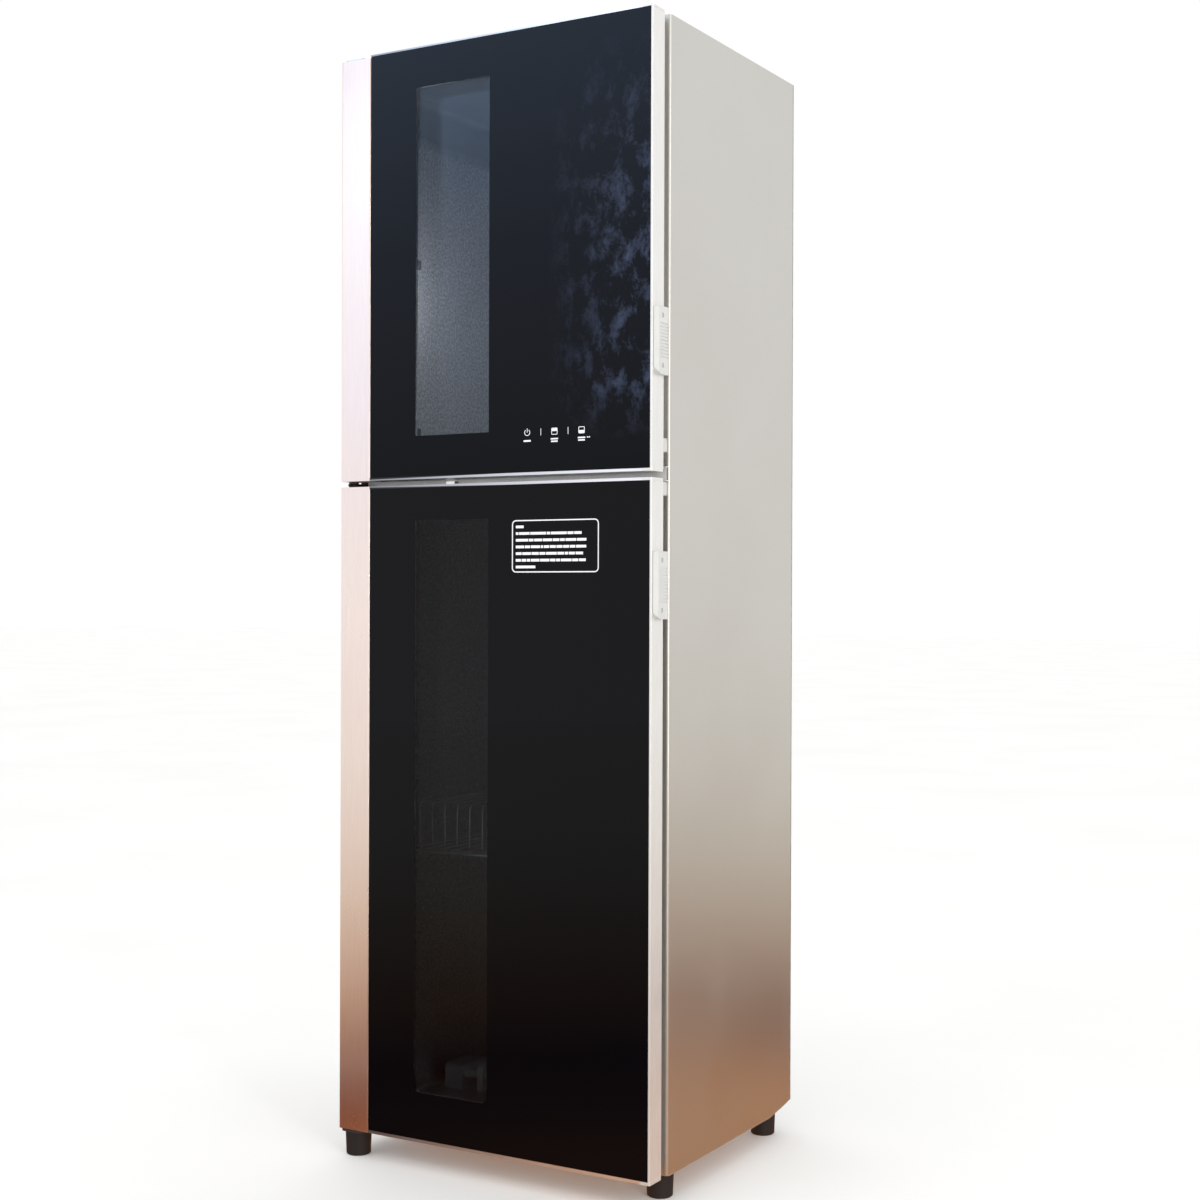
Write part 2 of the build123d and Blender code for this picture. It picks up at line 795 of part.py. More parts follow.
def door_gasket(low, high):
    """Square ring with a foot on the door, a narrow neck and a bulb towards the body."""
    x_low = across(gasket_side_inset)
    x_high = right - gasket_side_inset
    bulb_back = body_front - seal_clearance
    layers = [
        (door_back, door_back + gasket_foot, 0.0),
        (door_back + gasket_foot, bulb_back - gasket_bulb, (gasket_width - gasket_neck) / 2),
        (bulb_back - gasket_bulb, bulb_back, 0.0),
    ]
    with BuildPart() as gasket:
        for y_low, y_high, inset in layers:
            with BuildSketch(front_plane(y_low)):
                with Locations(((x_low + x_high) / 2, (low + high) / 2)):
                    Rectangle(x_high - x_low - 2 * inset, high - low - 2 * inset)
                    hole = 2 * (gasket_width - inset)
                    Rectangle(x_high - x_low - hole, high - low - hole, mode=Mode.SUBTRACT)
            extrude(amount=-(y_high - y_low))
    return gasket


def door_handle(low):
    """Side grip: slanted front, ribbed face, rounded tail and sunk screws."""
    high = low + handle_length
    outer = right + handle_proud
    grip_front = deep(handle_start + handle_slant)
    grip_back = door_back + handle_overhang
    grip_middle = (grip_front + grip_back) / 2
    screw_y = grip_middle - handle_screw_offset
    screw_levels = (low + handle_screw_inset, high - handle_screw_inset)
    with BuildPart() as handle:
        with BuildSketch(Plane.XY.offset(low)):
            with BuildLine():
                FilletPolyline(
                    (right, deep(handle_start)),
                    (outer, grip_front),
                    (outer, grip_back),
                    (right, grip_back),
                    radius=[handle_root_radius, handle_edge_radius, handle_edge_radius, handle_root_radius],
                    close=True,
                )
            make_face()
        extrude(amount=handle_length)
        with BuildSketch(Plane.YZ.offset(right)):
            with BuildLine():
                FilletPolyline(
                    (deep(handle_start), high),
                    (deep(handle_start), low),
                    (grip_back, low),
                    (grip_back, high),
                    radius=[handle_head_radius, handle_tail_radius, handle_root_radius, handle_edge_radius],
                    close=True,
                )
            make_face()
        extrude(amount=handle_proud, mode=Mode.INTERSECT)
        with BuildSketch(Plane.YZ.offset(outer)):
            with Locations((grip_middle, (low + high) / 2)):
                with GridLocations(1, grip_pitch, 1, grip_ribs):
                    Rectangle(grip_width, grip_groove)
        extrude(amount=-grip_groove_depth, mode=Mode.SUBTRACT)
        with BuildSketch(Plane.YZ.offset(outer)):
            with Locations(*[(screw_y, z) for z in screw_levels]):
                Circle(handle_screw_radius + handle_screw_play)
        extrude(amount=-handle_screw_sink, mode=Mode.SUBTRACT)
    with BuildPart() as screws:
        with BuildSketch(Plane.YZ.offset(outer - handle_screw_sink)):
            with Locations(*[(screw_y, z) for z in screw_levels]):
                Circle(handle_screw_radius)
        extrude(amount=handle_screw_sink - handle_screw_play)
    return handle, screws


def door_end_pieces(low, high, trim_high, low_lip, high_lip, low_gap, high_gap):
    """Hinge blocks in the trim's ends, caps on the bright stile and the bushes for the pins."""
    wall = extrusion_wall
    with BuildPart() as blocks:
        for z_low in (low, trim_high - hinge_block_height):
            block((across(wall), across(trim_width - wall)), (deep(wall), door_back - wall),
                  (z_low, z_low + hinge_block_height))
        for edge, reach in ((low, low_lip), (high, -high_lip)):
            block((frame_right, right + cap_proud), (front - cap_proud, door_back),
                  sorted((edge, edge + reach)))
        upright_edges = blocks.edges().filter_by(Axis.Z)
        fillet(upright_edges.filter_by(lambda edge: edge.center().X < lip_left), block_corner)
        fillet(blocks.edges().filter_by(Axis.Z).group_by(Axis.X)[-1], cap_corner)
        with Locations((pivot_x, pivot_y, (low + trim_high) / 2)):
            Cylinder(bush_radius, trim_high - low, mode=Mode.SUBTRACT)
    with BuildPart() as bushes:
        for face, outward, gap in ((low, -1, low_gap), (trim_high, 1, high_gap)):
            with BuildSketch(Plane.XY.offset(face)):
                with Locations((pivot_x, pivot_y)):
                    Circle(bush_radius)
            extrude(amount=-outward * bush_length)
            with BuildSketch(Plane.XY.offset(face)):
                with Locations((pivot_x, pivot_y)):
                    Circle(bush_flange_radius)
            extrude(amount=outward * (gap - bush_play))
        with Locations((pivot_x, pivot_y, (low + trim_high) / 2)):
            Cylinder(pin_radius + running_clearance, trim_high - low + 4 * door_gap, mode=Mode.SUBTRACT)
    return blocks, bushes


def door(name, low, high, trim_high, window_margins, lips, hinge_gaps, gasket_span, handle_low):
    """Write every piece of one door and return the glass's limits."""
    low_lip, high_lip = lips
    glass_low = low + low_lip
    glass_high = high - high_lip
    with BuildPart() as glass:
        block((glass_left, glass_right), (front, deep(glass_thickness)), (glass_low, glass_high))
    window = (low + window_margins[0], high - window_margins[1])
    panel, pane = door_inner_panel(low, high, trim_high, *window)
    handle, screws = door_handle(handle_low)
    blocks, bushes = door_end_pieces(low, high, trim_high, low_lip, high_lip, *hinge_gaps)
    pieces = {
        "glass": glass,
        "trim": door_trim(low, trim_high),
        "stile": door_stile(glass_low, glass_high),
        "rails": door_rails(low, high, low_lip, high_lip),
        "inner_panel": panel,
        "inner_pane": pane,
        "gasket": door_gasket(*gasket_span),
        "handle": handle,
        "handle_screws": screws,
        "end_blocks": blocks,
        "bushes": bushes,
    }
    for piece_name, piece in pieces.items():
        save(piece, f"{name}_door_{piece_name}")


mid_gap = (door_gap - mid_hinge_sheet) / 2
door(
    "lower", bottom, lower_door_top, lower_door_top,
    (lower_window_low_margin, lower_window_high_margin), (base_lip, wide_lip), (pan_sheet, mid_gap),
    (bottom + gasket_bottom_inset, lower_door_top - gasket_rail_inset),
    lower_door_top - lower_handle_drop - handle_length,
)
door(
    "upper", upper_door_bottom, top, top - top_hinge_sheet - top_hinge_gap,
    (upper_window_low_margin, upper_window_high_margin), (wide_lip, top_lip), (mid_gap, top_hinge_gap),
    (upper_door_bottom + gasket_rail_inset, top - gasket_top_inset),
    upper_door_bottom + upper_handle_rise,
)

# Touch board, bonded behind the upper glass under its printed keys
with BuildPart() as touch_board:
    board_x = right - touch_board_place[0]
    board_z = upper_door_bottom + touch_board_place[1]
    board_y = deep(glass_thickness)
    block((board_x - touch_board_size[0] / 2, board_x + touch_board_size[0] / 2),
          (board_y, board_y + touch_board_size[1]),
          (board_z - touch_board_size[2] / 2, board_z + touch_board_size[2] / 2))
    fillet(touch_board.edges().filter_by(Axis.Y), touch_board_corner)


# ---------------------------------------------------------------- racks and tray

rack_left = chamber_left + rack_side_play
rack_right = chamber_right - rack_side_play
rack_front = body_front + rack_front_inset
rack_rear = chamber_rear - rack_rear_inset
rack_middle = (rack_front + rack_rear) / 2
wire_count = int((rack_right - rack_left - 2 * rack_corner) / floor_wire_pitch)
wire_places = [(rack_left + rack_right) / 2 + (index - (wire_count - 1) / 2) * floor_wire_pitch
               for index in range(wire_count)]


def rack_frame(height):
    """Round-cornered frame of a shelf, with its middle bar."""
    half_frame = frame_wire / 2
    with BuildPart() as frame:
        with BuildLine(Plane.XY.offset(height)) as frame_path:
            FilletPolyline(
                (rack_left + half_frame, rack_front + half_frame),
                (rack_right - half_frame, rack_front + half_frame),
                (rack_right - half_frame, rack_rear - half_frame),
                (rack_left + half_frame, rack_rear - half_frame),
                radius=rack_corner,
                close=True,
            )
        with BuildSketch(frame_path.line ^ 0):
            Circle(half_frame)
        sweep(path=frame_path.line)
        with Locations((0, rack_middle, height)):
            Cylinder(half_frame, rack_right - rack_left - frame_wire, rotation=(0, 90, 0))
    return frame


# One floor wire, as it lies on a frame that stands at height zero
floor_wire_rise = frame_wire / 2 + floor_wire / 2 - weld_sink
with BuildPart() as one_floor_wire:
    with Locations((0, rack_middle, floor_wire_rise)):
        Cylinder(floor_wire / 2, rack_rear - rack_front - frame_wire, rotation=(90, 0, 0))

dish_rack = rack_frame(level(dish_rack_level))
upper_rack = rack_frame(level(upper_rack_level))
with upper_rack:
    with Locations(*[(x, 0, level(upper_rack_level)) for x in wire_places]):
        add(one_floor_wire.part)

# Floor wires of the dish rack, each with the plate hoop that stands on it
hoop_low = level(dish_rack_level) + frame_wire / 2 + floor_wire - 2 * weld_sink
hoop_front = rack_front + dish_hoop_inset[0]
hoop_rear = rack_rear - dish_hoop_inset[1]
with BuildPart() as one_hoop:
    with BuildLine(Plane.YZ) as hoop_path:
        FilletPolyline(
            (hoop_front, hoop_low),
            (hoop_front, hoop_low + dish_hoop_height),
            (hoop_rear, hoop_low + dish_hoop_height),
            (hoop_rear, hoop_low),
            radius=dish_hoop_bend,
        )
    with BuildSketch(Plane.XY.offset(hoop_low)):
        with Locations((0, hoop_front)):
            Circle(floor_wire / 2)
    sweep(path=hoop_path.line)
    with Locations((0, 0, level(dish_rack_level))):
        add(one_floor_wire.part)
with BuildPart() as dish_rack_hoops:
    with Locations(*[(x, 0, 0) for x in wire_places]):
        add(one_hoop.part)

# Empty rack hook: an arm out of the wall with an upturned tip
with BuildPart() as wall_hook:
    with BuildSketch(Plane.XZ):
        with BuildLine():
            Polyline(
                (0, 0),
                (hook_reach, 0),
                (hook_reach, hook_height),
                (hook_reach - hook_tip, hook_height),
                (hook_reach - hook_tip, hook_arm),
                (0, hook_arm),
                close=True,
            )
        make_face()
    extrude(amount=hook_width / 2, both=True)
    fillet(wall_hook.edges().filter_by(Axis.Y).group_by(Axis.X)[-1], hook_edge)

# Pegs in the chamber walls, under the racks, and the empty hooks above the upper rack
peg_levels = [rack_level - frame_wire / 2 - slide_clearance - peg_radius
              for rack_level in (dish_rack_level, upper_rack_level)]
hook_levels = [upper_chamber_floor + rise for rise in hook_rises]
peg_depths = (liner_front + peg_inset[0], chamber_rear - peg_inset[1])
with BuildPart() as rack_pegs:
    for height in peg_levels:
        for depth in peg_depths:
            for side in (-1, 1):
                wall = side * chamber_width / 2
                with Locations((wall - side * peg_reach / 2, depth, level(height))):
                    Cylinder(peg_radius, peg_reach, rotation=(0, 90, 0))
                with Locations((wall - side * peg_head / 2, depth, level(height))):
                    Cylinder(peg_head_radius, peg_head, rotation=(0, 90, 0))
    for height in hook_levels:
        for depth in peg_depths:
            for side, turn in ((-1, 0), (1, 180)):
                with Locations(Location((side * chamber_width / 2, depth, level(height)), (0, 0, turn))):
                    add(wall_hook.part)

# Drip tray on the floor of the upper chamber
with BuildPart() as drip_tray:
    tray_left = chamber_left + tray_side_play
    tray_right = chamber_right - tray_side_play
    tray_front = body_front + tray_front_inset
    tray_rear = chamber_rear - tray_rear_inset
    tray_low = level(upper_chamber_floor) + slide_clearance
    tray_high = tray_low + tray_height
    block((tray_left, tray_right), (tray_front, tray_rear), (tray_high - tray_sheet, tray_high))
    inset = tray_rim
    with BuildSketch(Plane.XY.offset(tray_low)):
        with Locations(((tray_left + tray_right) / 2, (tray_front + tray_rear) / 2)):
            RectangleRounded(tray_right - tray_left - 2 * inset, tray_rear - tray_front - 2 * inset,
                             tray_corner)
    extrude(amount=tray_height)
    with BuildSketch(Plane.XY.offset(tray_low + tray_sheet)):
        with Locations(((tray_left + tray_right) / 2, (tray_front + tray_rear) / 2)):
            grow = 2 * (inset + tray_sheet)
            RectangleRounded(tray_right - tray_left - grow, tray_rear - tray_front - grow,
                             tray_corner - tray_sheet)
    extrude(amount=tray_height, mode=Mode.SUBTRACT)


# ---------------------------------------------------------------- heating and lamp

heater_floor = level(lower_chamber_floor)
tube_height = level(tube_level)
tube_rows = [deep(tube_front), deep(tube_front) + tube_pitch]
box_front = tube_rows[0] - heater_box_margin
box_rear = tube_rows[1] + heater_box_margin
box_outer = chamber_width / 2 - heater_box_inset
box_inner = box_outer - heater_box_width
tube_length = 2 * (box_inner - tube_box_gap)

with BuildPart() as quartz_tubes:
    for y in tube_rows:
        with Locations((0, y, tube_height)):
            Cylinder(tube_radius, tube_length, rotation=(0, 90, 0))
            Cylinder(tube_radius - tube_wall, tube_length, rotation=(0, 90, 0), mode=Mode.SUBTRACT)

with BuildPart() as tube_caps:
    for y in tube_rows:
        for side in (-1, 1):
            cap_middle = side * (tube_length / 2 + tube_cap_length / 2 - tube_in_cap)
            with Locations((cap_middle, y, tube_height)):
                Cylinder(tube_cap_radius, tube_cap_length, rotation=(0, 90, 0))
    add(quartz_tubes.part, mode=Mode.SUBTRACT)

with BuildPart() as heater_boxes:
    inner_radius = heater_box_radius - heater_sheet
    for side in (-1, 1):
        start = min(side * box_inner, side * box_outer)
        with BuildSketch(Plane.YZ.offset(start)):
            with BuildLine():
                FilletPolyline(
                    (box_front, heater_floor),
                    (box_front, heater_floor + heater_box_height),
                    (box_rear, heater_floor + heater_box_height),
                    (box_rear, heater_floor),
                    radius=[heater_root_radius, heater_box_radius, heater_box_radius, heater_root_radius],
                    close=True,
                )
            make_face()
        extrude(amount=heater_box_width)
        with BuildSketch(Plane.YZ.offset(start + heater_sheet)):
            with BuildLine():
                FilletPolyline(
                    (box_front + heater_sheet, heater_floor),
                    (box_front + heater_sheet, heater_floor + heater_box_height - heater_sheet),
                    (box_rear - heater_sheet, heater_floor + heater_box_height - heater_sheet),
                    (box_rear - heater_sheet, heater_floor),
                    radius=[heater_root_radius, inner_radius, inner_radius, heater_root_radius],
                    close=True,
                )
            make_face()
        extrude(amount=heater_box_width - 2 * heater_sheet, mode=Mode.SUBTRACT)
    for y in tube_rows:
        with Locations((0, y, tube_height)):
            Cylinder(tube_cap_radius, 2 * box_inner + 4 * heater_sheet, rotation=(0, 90, 0),
                     mode=Mode.SUBTRACT)

with BuildPart() as tube_clips:
    clip_front = tube_rows[0] - tube_cap_radius - clip_margin
    clip_rear = tube_rows[1] + tube_cap_radius + clip_margin
    clip_top = tube_height + tube_radius + clip_rise
    for side in (-1, 1):
        clip_x = side * (box_inner - clip_offset + heater_box_width)
        with BuildSketch(Plane.YZ.offset(clip_x - clip_width / 2)):
            with BuildLine():
                FilletPolyline(
                    (clip_front, heater_floor),
                    (clip_front, clip_top),
                    (clip_rear, clip_top),
                    (clip_rear, heater_floor),
                    radius=[heater_root_radius, clip_corner, clip_corner, heater_root_radius],
                    close=True,
                )
            make_face()
            with Locations(*[(y, tube_height) for y in tube_rows]):
                Circle(tube_radius + clip_play, mode=Mode.SUBTRACT)
            with Locations(((clip_front + clip_rear) / 2, (tube_height + clip_top) / 2)):
                Rectangle(tube_pitch - 2 * tube_cap_radius, clip_rise, mode=Mode.SUBTRACT)
        extrude(amount=clip_width)

with BuildPart() as reflector:
    arc_y = (tube_rows[0] + tube_rows[1]) / 2
    with BuildSketch(Plane.YZ):
        with BuildLine():
            ThreePointArc(
                (box_front - reflector_margin, heater_floor + reflector_dip),
                (arc_y, heater_floor + heater_sheet / 2),
                (box_rear + reflector_margin, heater_floor + reflector_dip),
            )
        trace(line_width=heater_sheet)
    extrude(amount=box_inner - clip_offset + heater_box_width - clip_width, both=True)

lamp_y = chamber_rear - lamp_from_rear
lamp_z = level(upper_chamber_ceiling - lamp_from_ceiling)
holder_x = lamp_length / 2 + lamp_holder_width / 2
with BuildPart() as lamp:
    with Locations((0, lamp_y, lamp_z)):
        Cylinder(lamp_radius, lamp_length, rotation=(0, 90, 0))

with BuildPart() as lamp_holders:
    for side in (-1, 1):
        block((side * holder_x - lamp_holder_width / 2, side * holder_x + lamp_holder_width / 2),
              (lamp_y - lamp_holder_size / 2, chamber_rear),
              (lamp_z - lamp_holder_size / 2, lamp_z + lamp_holder_size / 2))
    fillet(lamp_holders.edges().filter_by(Axis.X).group_by(Axis.Y)[0], guard_corner)

# Slotted guard in front of the lamp, hooked to the rear wall above and below it
guard_low = lamp_z - lamp_holder_size / 2 - guard_sheet
guard_high = lamp_z + lamp_holder_size / 2 + guard_sheet
guard_front = lamp_y - lamp_holder_size / 2 - guard_sheet
guard_half = holder_x + lamp_holder_width / 2 + guard_margin
with BuildPart() as lamp_guard:
    with BuildSketch(Plane.YZ):
        with BuildLine():
            FilletPolyline(
                (chamber_rear, guard_low - guard_sheet / 2),
                (guard_front - guard_sheet / 2, guard_low - guard_sheet / 2),
                (guard_front - guard_sheet / 2, guard_high + guard_sheet / 2),
                (chamber_rear, guard_high + guard_sheet / 2),
                radius=guard_corner,
            )
        trace(line_width=guard_sheet)
    extrude(amount=guard_half, both=True)
    with BuildSketch(front_plane(guard_front)):
        with Locations((0, lamp_z)):
            with GridLocations(lamp_length / guard_slots, 1, guard_slots, 1):
                Rectangle(guard_slot_width, lamp_holder_size - 2 * guard_corner)
    extrude(amount=2 * guard_sheet, both=True, mode=Mode.SUBTRACT)


# ---------------------------------------------------------------- hidden electrics

box_floor = level(lower_chamber_ceiling) + liner_sheet
with BuildPart() as power_box:
    box_start = deep(power_box_from_front)
    block((-power_box_size[0] / 2, power_box_size[0] / 2), (box_start, box_start + power_box_size[1]),
          (box_floor, box_floor + power_box_size[2]))
    fillet(power_box.edges().filter_by(Axis.Z), power_box_corner)

with BuildPart() as thermostat:
    thermostat_y = box_start + power_box_size[1] + 2 * thermostat_radius
    with BuildSketch(Plane.XY.offset(box_floor)):
        with Locations((0, thermostat_y)):
            Circle(thermostat_radius)
    extrude(amount=thermostat_height)

with BuildPart() as cord_gland:
    gland_centre = (across(gland_place[0]), level(gland_place[1]))
    with BuildSketch(front_plane(rear + gland_flange)):
        with Locations(gland_centre):
            Circle(gland_flange_radius)
    extrude(amount=gland_flange)
    with BuildSketch(front_plane(rear)):
        with Locations(gland_centre):
            Circle(gland_radius)
    extrude(amount=gland_length - gland_flange)
    with BuildSketch(front_plane(rear + gland_flange)):
        with Locations(gland_centre):
            Circle(gland_bore_radius)
    extrude(amount=gland_length, mode=Mode.SUBTRACT)


# ---------------------------------------------------------------- write the body's pieces

body_pieces = {
    "side_panel_left": side_panel_left,
    "side_panel_right": side_panel_right,
    "rear_cover": rear_cover,
    "rear_cover_screws": rear_cover_screws,
    "top_cover": top_cover,
    "base_pan": base_pan,
    "front_frame": front_frame,
    "centre_rail": centre_rail,
    "upper_liner": upper_liner,
    "lower_liner": lower_liner,
    "insulation": insulation,
    "door_sensor": door_sensor,
    "door_catches": door_catches,
    "top_hinge": top_hinge,
    "mid_hinge": mid_hinge,
    "lower_hinge": lower_hinge,
    "hinge_pins": hinge_pins,
    "hinge_screws": hinge_screws,
    "front_feet": front_feet,
    "rear_feet": rear_feet,
    "foot_screws": foot_screws,
    "rack_pegs": rack_pegs,
    "quartz_tubes": quartz_tubes,
    "tube_caps": tube_caps,
    "heater_boxes": heater_boxes,
    "tube_clips": tube_clips,
    "reflector": reflector,
    "lamp": lamp,
    "lamp_holders": lamp_holders,
    "lamp_guard": lamp_guard,
    "power_box": power_box,
    "thermostat": thermostat,
    "cord_gland": cord_gland,
    "touch_board": touch_board,
    "upper_rack": upper_rack,
    "dish_rack": dish_rack,
    "dish_rack_hoops": dish_rack_hoops,
    "drip_tray": drip_tray,
}
for node, piece in body_pieces.items():
    save(piece, node)
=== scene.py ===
"""Looks of the dish sterilizer cabinet: finishes, printed glass, studio and camera. Metres, +Z up."""

import json
import math

import bpy
from mathutils import Matrix, Vector

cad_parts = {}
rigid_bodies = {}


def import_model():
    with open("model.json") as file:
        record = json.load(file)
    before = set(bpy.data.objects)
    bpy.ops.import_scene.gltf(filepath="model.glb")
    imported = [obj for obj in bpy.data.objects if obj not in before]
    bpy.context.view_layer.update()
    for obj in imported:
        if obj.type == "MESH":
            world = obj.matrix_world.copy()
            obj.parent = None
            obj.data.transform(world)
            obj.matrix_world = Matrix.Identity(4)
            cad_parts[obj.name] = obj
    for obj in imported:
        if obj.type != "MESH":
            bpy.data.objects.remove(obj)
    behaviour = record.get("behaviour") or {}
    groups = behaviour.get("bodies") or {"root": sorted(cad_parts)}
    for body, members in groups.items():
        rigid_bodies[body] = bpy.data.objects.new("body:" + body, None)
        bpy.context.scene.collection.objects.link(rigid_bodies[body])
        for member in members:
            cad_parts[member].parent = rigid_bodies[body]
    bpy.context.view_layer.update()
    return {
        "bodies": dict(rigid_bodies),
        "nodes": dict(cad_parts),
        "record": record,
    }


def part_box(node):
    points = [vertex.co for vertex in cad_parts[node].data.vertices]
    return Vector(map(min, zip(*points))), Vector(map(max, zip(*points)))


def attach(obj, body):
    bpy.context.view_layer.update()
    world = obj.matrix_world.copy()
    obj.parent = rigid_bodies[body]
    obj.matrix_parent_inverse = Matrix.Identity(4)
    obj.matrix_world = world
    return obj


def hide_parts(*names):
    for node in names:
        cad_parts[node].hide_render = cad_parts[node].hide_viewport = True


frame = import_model()
nodes = frame["nodes"]
bodies = frame["bodies"]

MM = 0.001


# ---------------------------------------------------------------- places

glass_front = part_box("upper_door_glass")[0].y
panel_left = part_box("side_panel_left")[0].x
panel_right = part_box("side_panel_right")[1].x
doors_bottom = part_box("lower_door_glass")[0].z - 4.0 * MM


def across(distance):
    """X at a distance in millimetres from the cabinet's left side."""
    return panel_left + distance * MM


def deep(distance):
    """Y at a distance in millimetres behind the glass front."""
    return glass_front + distance * MM


def level(height):
    """Z at a height in millimetres above the underside of the doors."""
    return doors_bottom + height * MM


# ---------------------------------------------------------------- node helpers

def new_material(name):
    """An empty node material and its tree."""
    material = bpy.data.materials.new(name)
    material.use_nodes = True
    material.node_tree.nodes.clear()
    return material, material.node_tree


def add_node(tree, kind, **settings):
    """A node with its properties set."""
    node = tree.nodes.new(kind)
    for key, value in settings.items():
        setattr(node, key, value)
    return node


def link(tree, source, output, target, socket):
    """Join two nodes by socket names or numbers."""
    tree.links.new(source.outputs[output], target.inputs[socket])


def shader(tree, color, metallic=0.0, roughness=0.5):
    """Principled shader wired to the output."""
    principled = add_node(tree, "ShaderNodeBsdfPrincipled")
    principled.inputs["Base Color"].default_value = (*color, 1.0)
    principled.inputs["Metallic"].default_value = metallic
    principled.inputs["Roughness"].default_value = roughness
    output = add_node(tree, "ShaderNodeOutputMaterial")
    link(tree, principled, "BSDF", output, "Surface")
    return principled


def noise(tree, scale, detail=2.0, stretch=(1.0, 1.0, 1.0), roughness=0.5, distortion=0.0):
    """Noise in the object's own space, finer along the axes with a larger stretch."""
    place = add_node(tree, "ShaderNodeTexCoord")
    mapping = add_node(tree, "ShaderNodeMapping")
    mapping.inputs["Scale"].default_value = stretch
    link(tree, place, "Object", mapping, "Vector")
    texture = add_node(tree, "ShaderNodeTexNoise")
    texture.inputs["Scale"].default_value = scale
    texture.inputs["Detail"].default_value = detail
    texture.inputs["Roughness"].default_value = roughness
    texture.inputs["Distortion"].default_value = distortion
    link(tree, mapping, "Vector", texture, "Vector")
    return texture


def spread(tree, source, output, low, high, start=0.35, end=0.65):
    """A number that runs from low to high while the source runs from start to end."""
    remap = add_node(tree, "ShaderNodeMapRange")
    remap.inputs["From Min"].default_value = start
    remap.inputs["From Max"].default_value = end
    remap.inputs["To Min"].default_value = low
    remap.inputs["To Max"].default_value = high
    link(tree, source, output, remap, "Value")
    return remap


def tint(tree, source, output, dark, light, start=0.35, end=0.65):
    """A colour that runs from dark to light with the source."""
    ramp = add_node(tree, "ShaderNodeValToRGB")
    ramp.color_ramp.elements[0].position = start
    ramp.color_ramp.elements[0].color = (*dark, 1.0)
    ramp.color_ramp.elements[1].position = end
    ramp.color_ramp.elements[1].color = (*light, 1.0)
    link(tree, source, output, ramp, "Fac")
    return ramp


def object_axes(tree):
    """The object's own coordinates, taken apart."""
    place = add_node(tree, "ShaderNodeTexCoord")
    apart = add_node(tree, "ShaderNodeSeparateXYZ")
    link(tree, place, "Object", apart, "Vector")
    return apart


def product(tree, *parts):
    """The product of the first outputs of some nodes."""
    result = parts[0]
    for part in parts[1:]:
        times = add_node(tree, "ShaderNodeMath", operation="MULTIPLY")
        link(tree, result, 0, times, 0)
        link(tree, part, 0, times, 1)
        result = times
    return result


def bump(tree, principled, source, output, strength, distance):
    """Relief from a texture on a principled shader."""
    relief = add_node(tree, "ShaderNodeBump")
    relief.inputs["Strength"].default_value = strength
    relief.inputs["Distance"].default_value = distance
    link(tree, source, output, relief, "Height")
    link(tree, relief, "Normal", principled, "Normal")


def scaled(color, factor):
    """A colour made darker or lighter."""
    return tuple(min(1.0, channel * factor) for channel in color)


# ---------------------------------------------------------------- finishes

def metal(name, color, roughness, scale=900.0, stretch=(1.0, 1.0, 1.0), vary=0.05, grain=0.15,
          metallic=1.0):
    """Metal with fine grain, slight variation of tone and of gloss."""
    material, tree = new_material(name)
    principled = shader(tree, color, metallic, roughness)
    fine = noise(tree, scale, 3.0, stretch)
    broad = noise(tree, 9.0, 3.0)
    colour = tint(tree, fine, "Fac", scaled(color, 1 - vary), scaled(color, 1 + vary), 0.3, 0.7)
    link(tree, colour, "Color", principled, "Base Color")
    gloss = spread(tree, broad, "Fac", roughness * 0.85, roughness * 1.15)
    link(tree, gloss, "Result", principled, "Roughness")
    bump(tree, principled, fine, "Fac", grain, 0.05 * MM)
    return material


def moulded(name, color, roughness=0.45, texture_scale=1400.0, relief=0.12, vary=0.04, coat=0.0):
    """Plastic, rubber or ceramic with a fine skin texture and faint unevenness."""
    material, tree = new_material(name)
    principled = shader(tree, color, 0.0, roughness)
    principled.inputs["Coat Weight"].default_value = coat
    fine = noise(tree, texture_scale, 2.0)
    broad = noise(tree, 14.0, 4.0)
    colour = tint(tree, broad, "Fac", scaled(color, 1 - vary), scaled(color, 1 + vary))
    link(tree, colour, "Color", principled, "Base Color")
    gloss = spread(tree, broad, "Fac", roughness * 0.88, min(1.0, roughness * 1.12))
    link(tree, gloss, "Result", principled, "Roughness")
    bump(tree, principled, fine, "Fac", relief, 0.04 * MM)
    return material


def side_paint():
    """Champagne-silver metallic paint with a sprayed grain and a soft clear skin."""
    material, tree = new_material("side_paint")
    color = (0.63, 0.615, 0.575)
    principled = shader(tree, color, 0.95, 0.40)
    principled.inputs["Coat Weight"].default_value = 0.05
    principled.inputs["Coat Roughness"].default_value = 0.25
    flake = noise(tree, 2600.0, 2.0)
    broad = noise(tree, 5.0, 4.0)
    orange_peel = noise(tree, 420.0, 2.0)
    colour = tint(tree, flake, "Fac", scaled(color, 0.90), scaled(color, 1.08), 0.25, 0.75)
    link(tree, colour, "Color", principled, "Base Color")
    gloss = spread(tree, broad, "Fac", 0.37, 0.43)
    link(tree, gloss, "Result", principled, "Roughness")
    bump(tree, principled, orange_peel, "Fac", 0.10, 0.05 * MM)
    return material


# The middle and top rose tones are painted shade, darker towards the trim's top.
ROSE_LOW, ROSE_PAINTED_SHADE_MIDDLE, ROSE_PAINTED_SHADE_TOP = (0.93, 0.80, 0.745), (0.90, 0.755, 0.645), (0.80, 0.645, 0.565)
ROSE_PAINTED_SHADE_SPAN = (level(1000.0), level(1450.0))


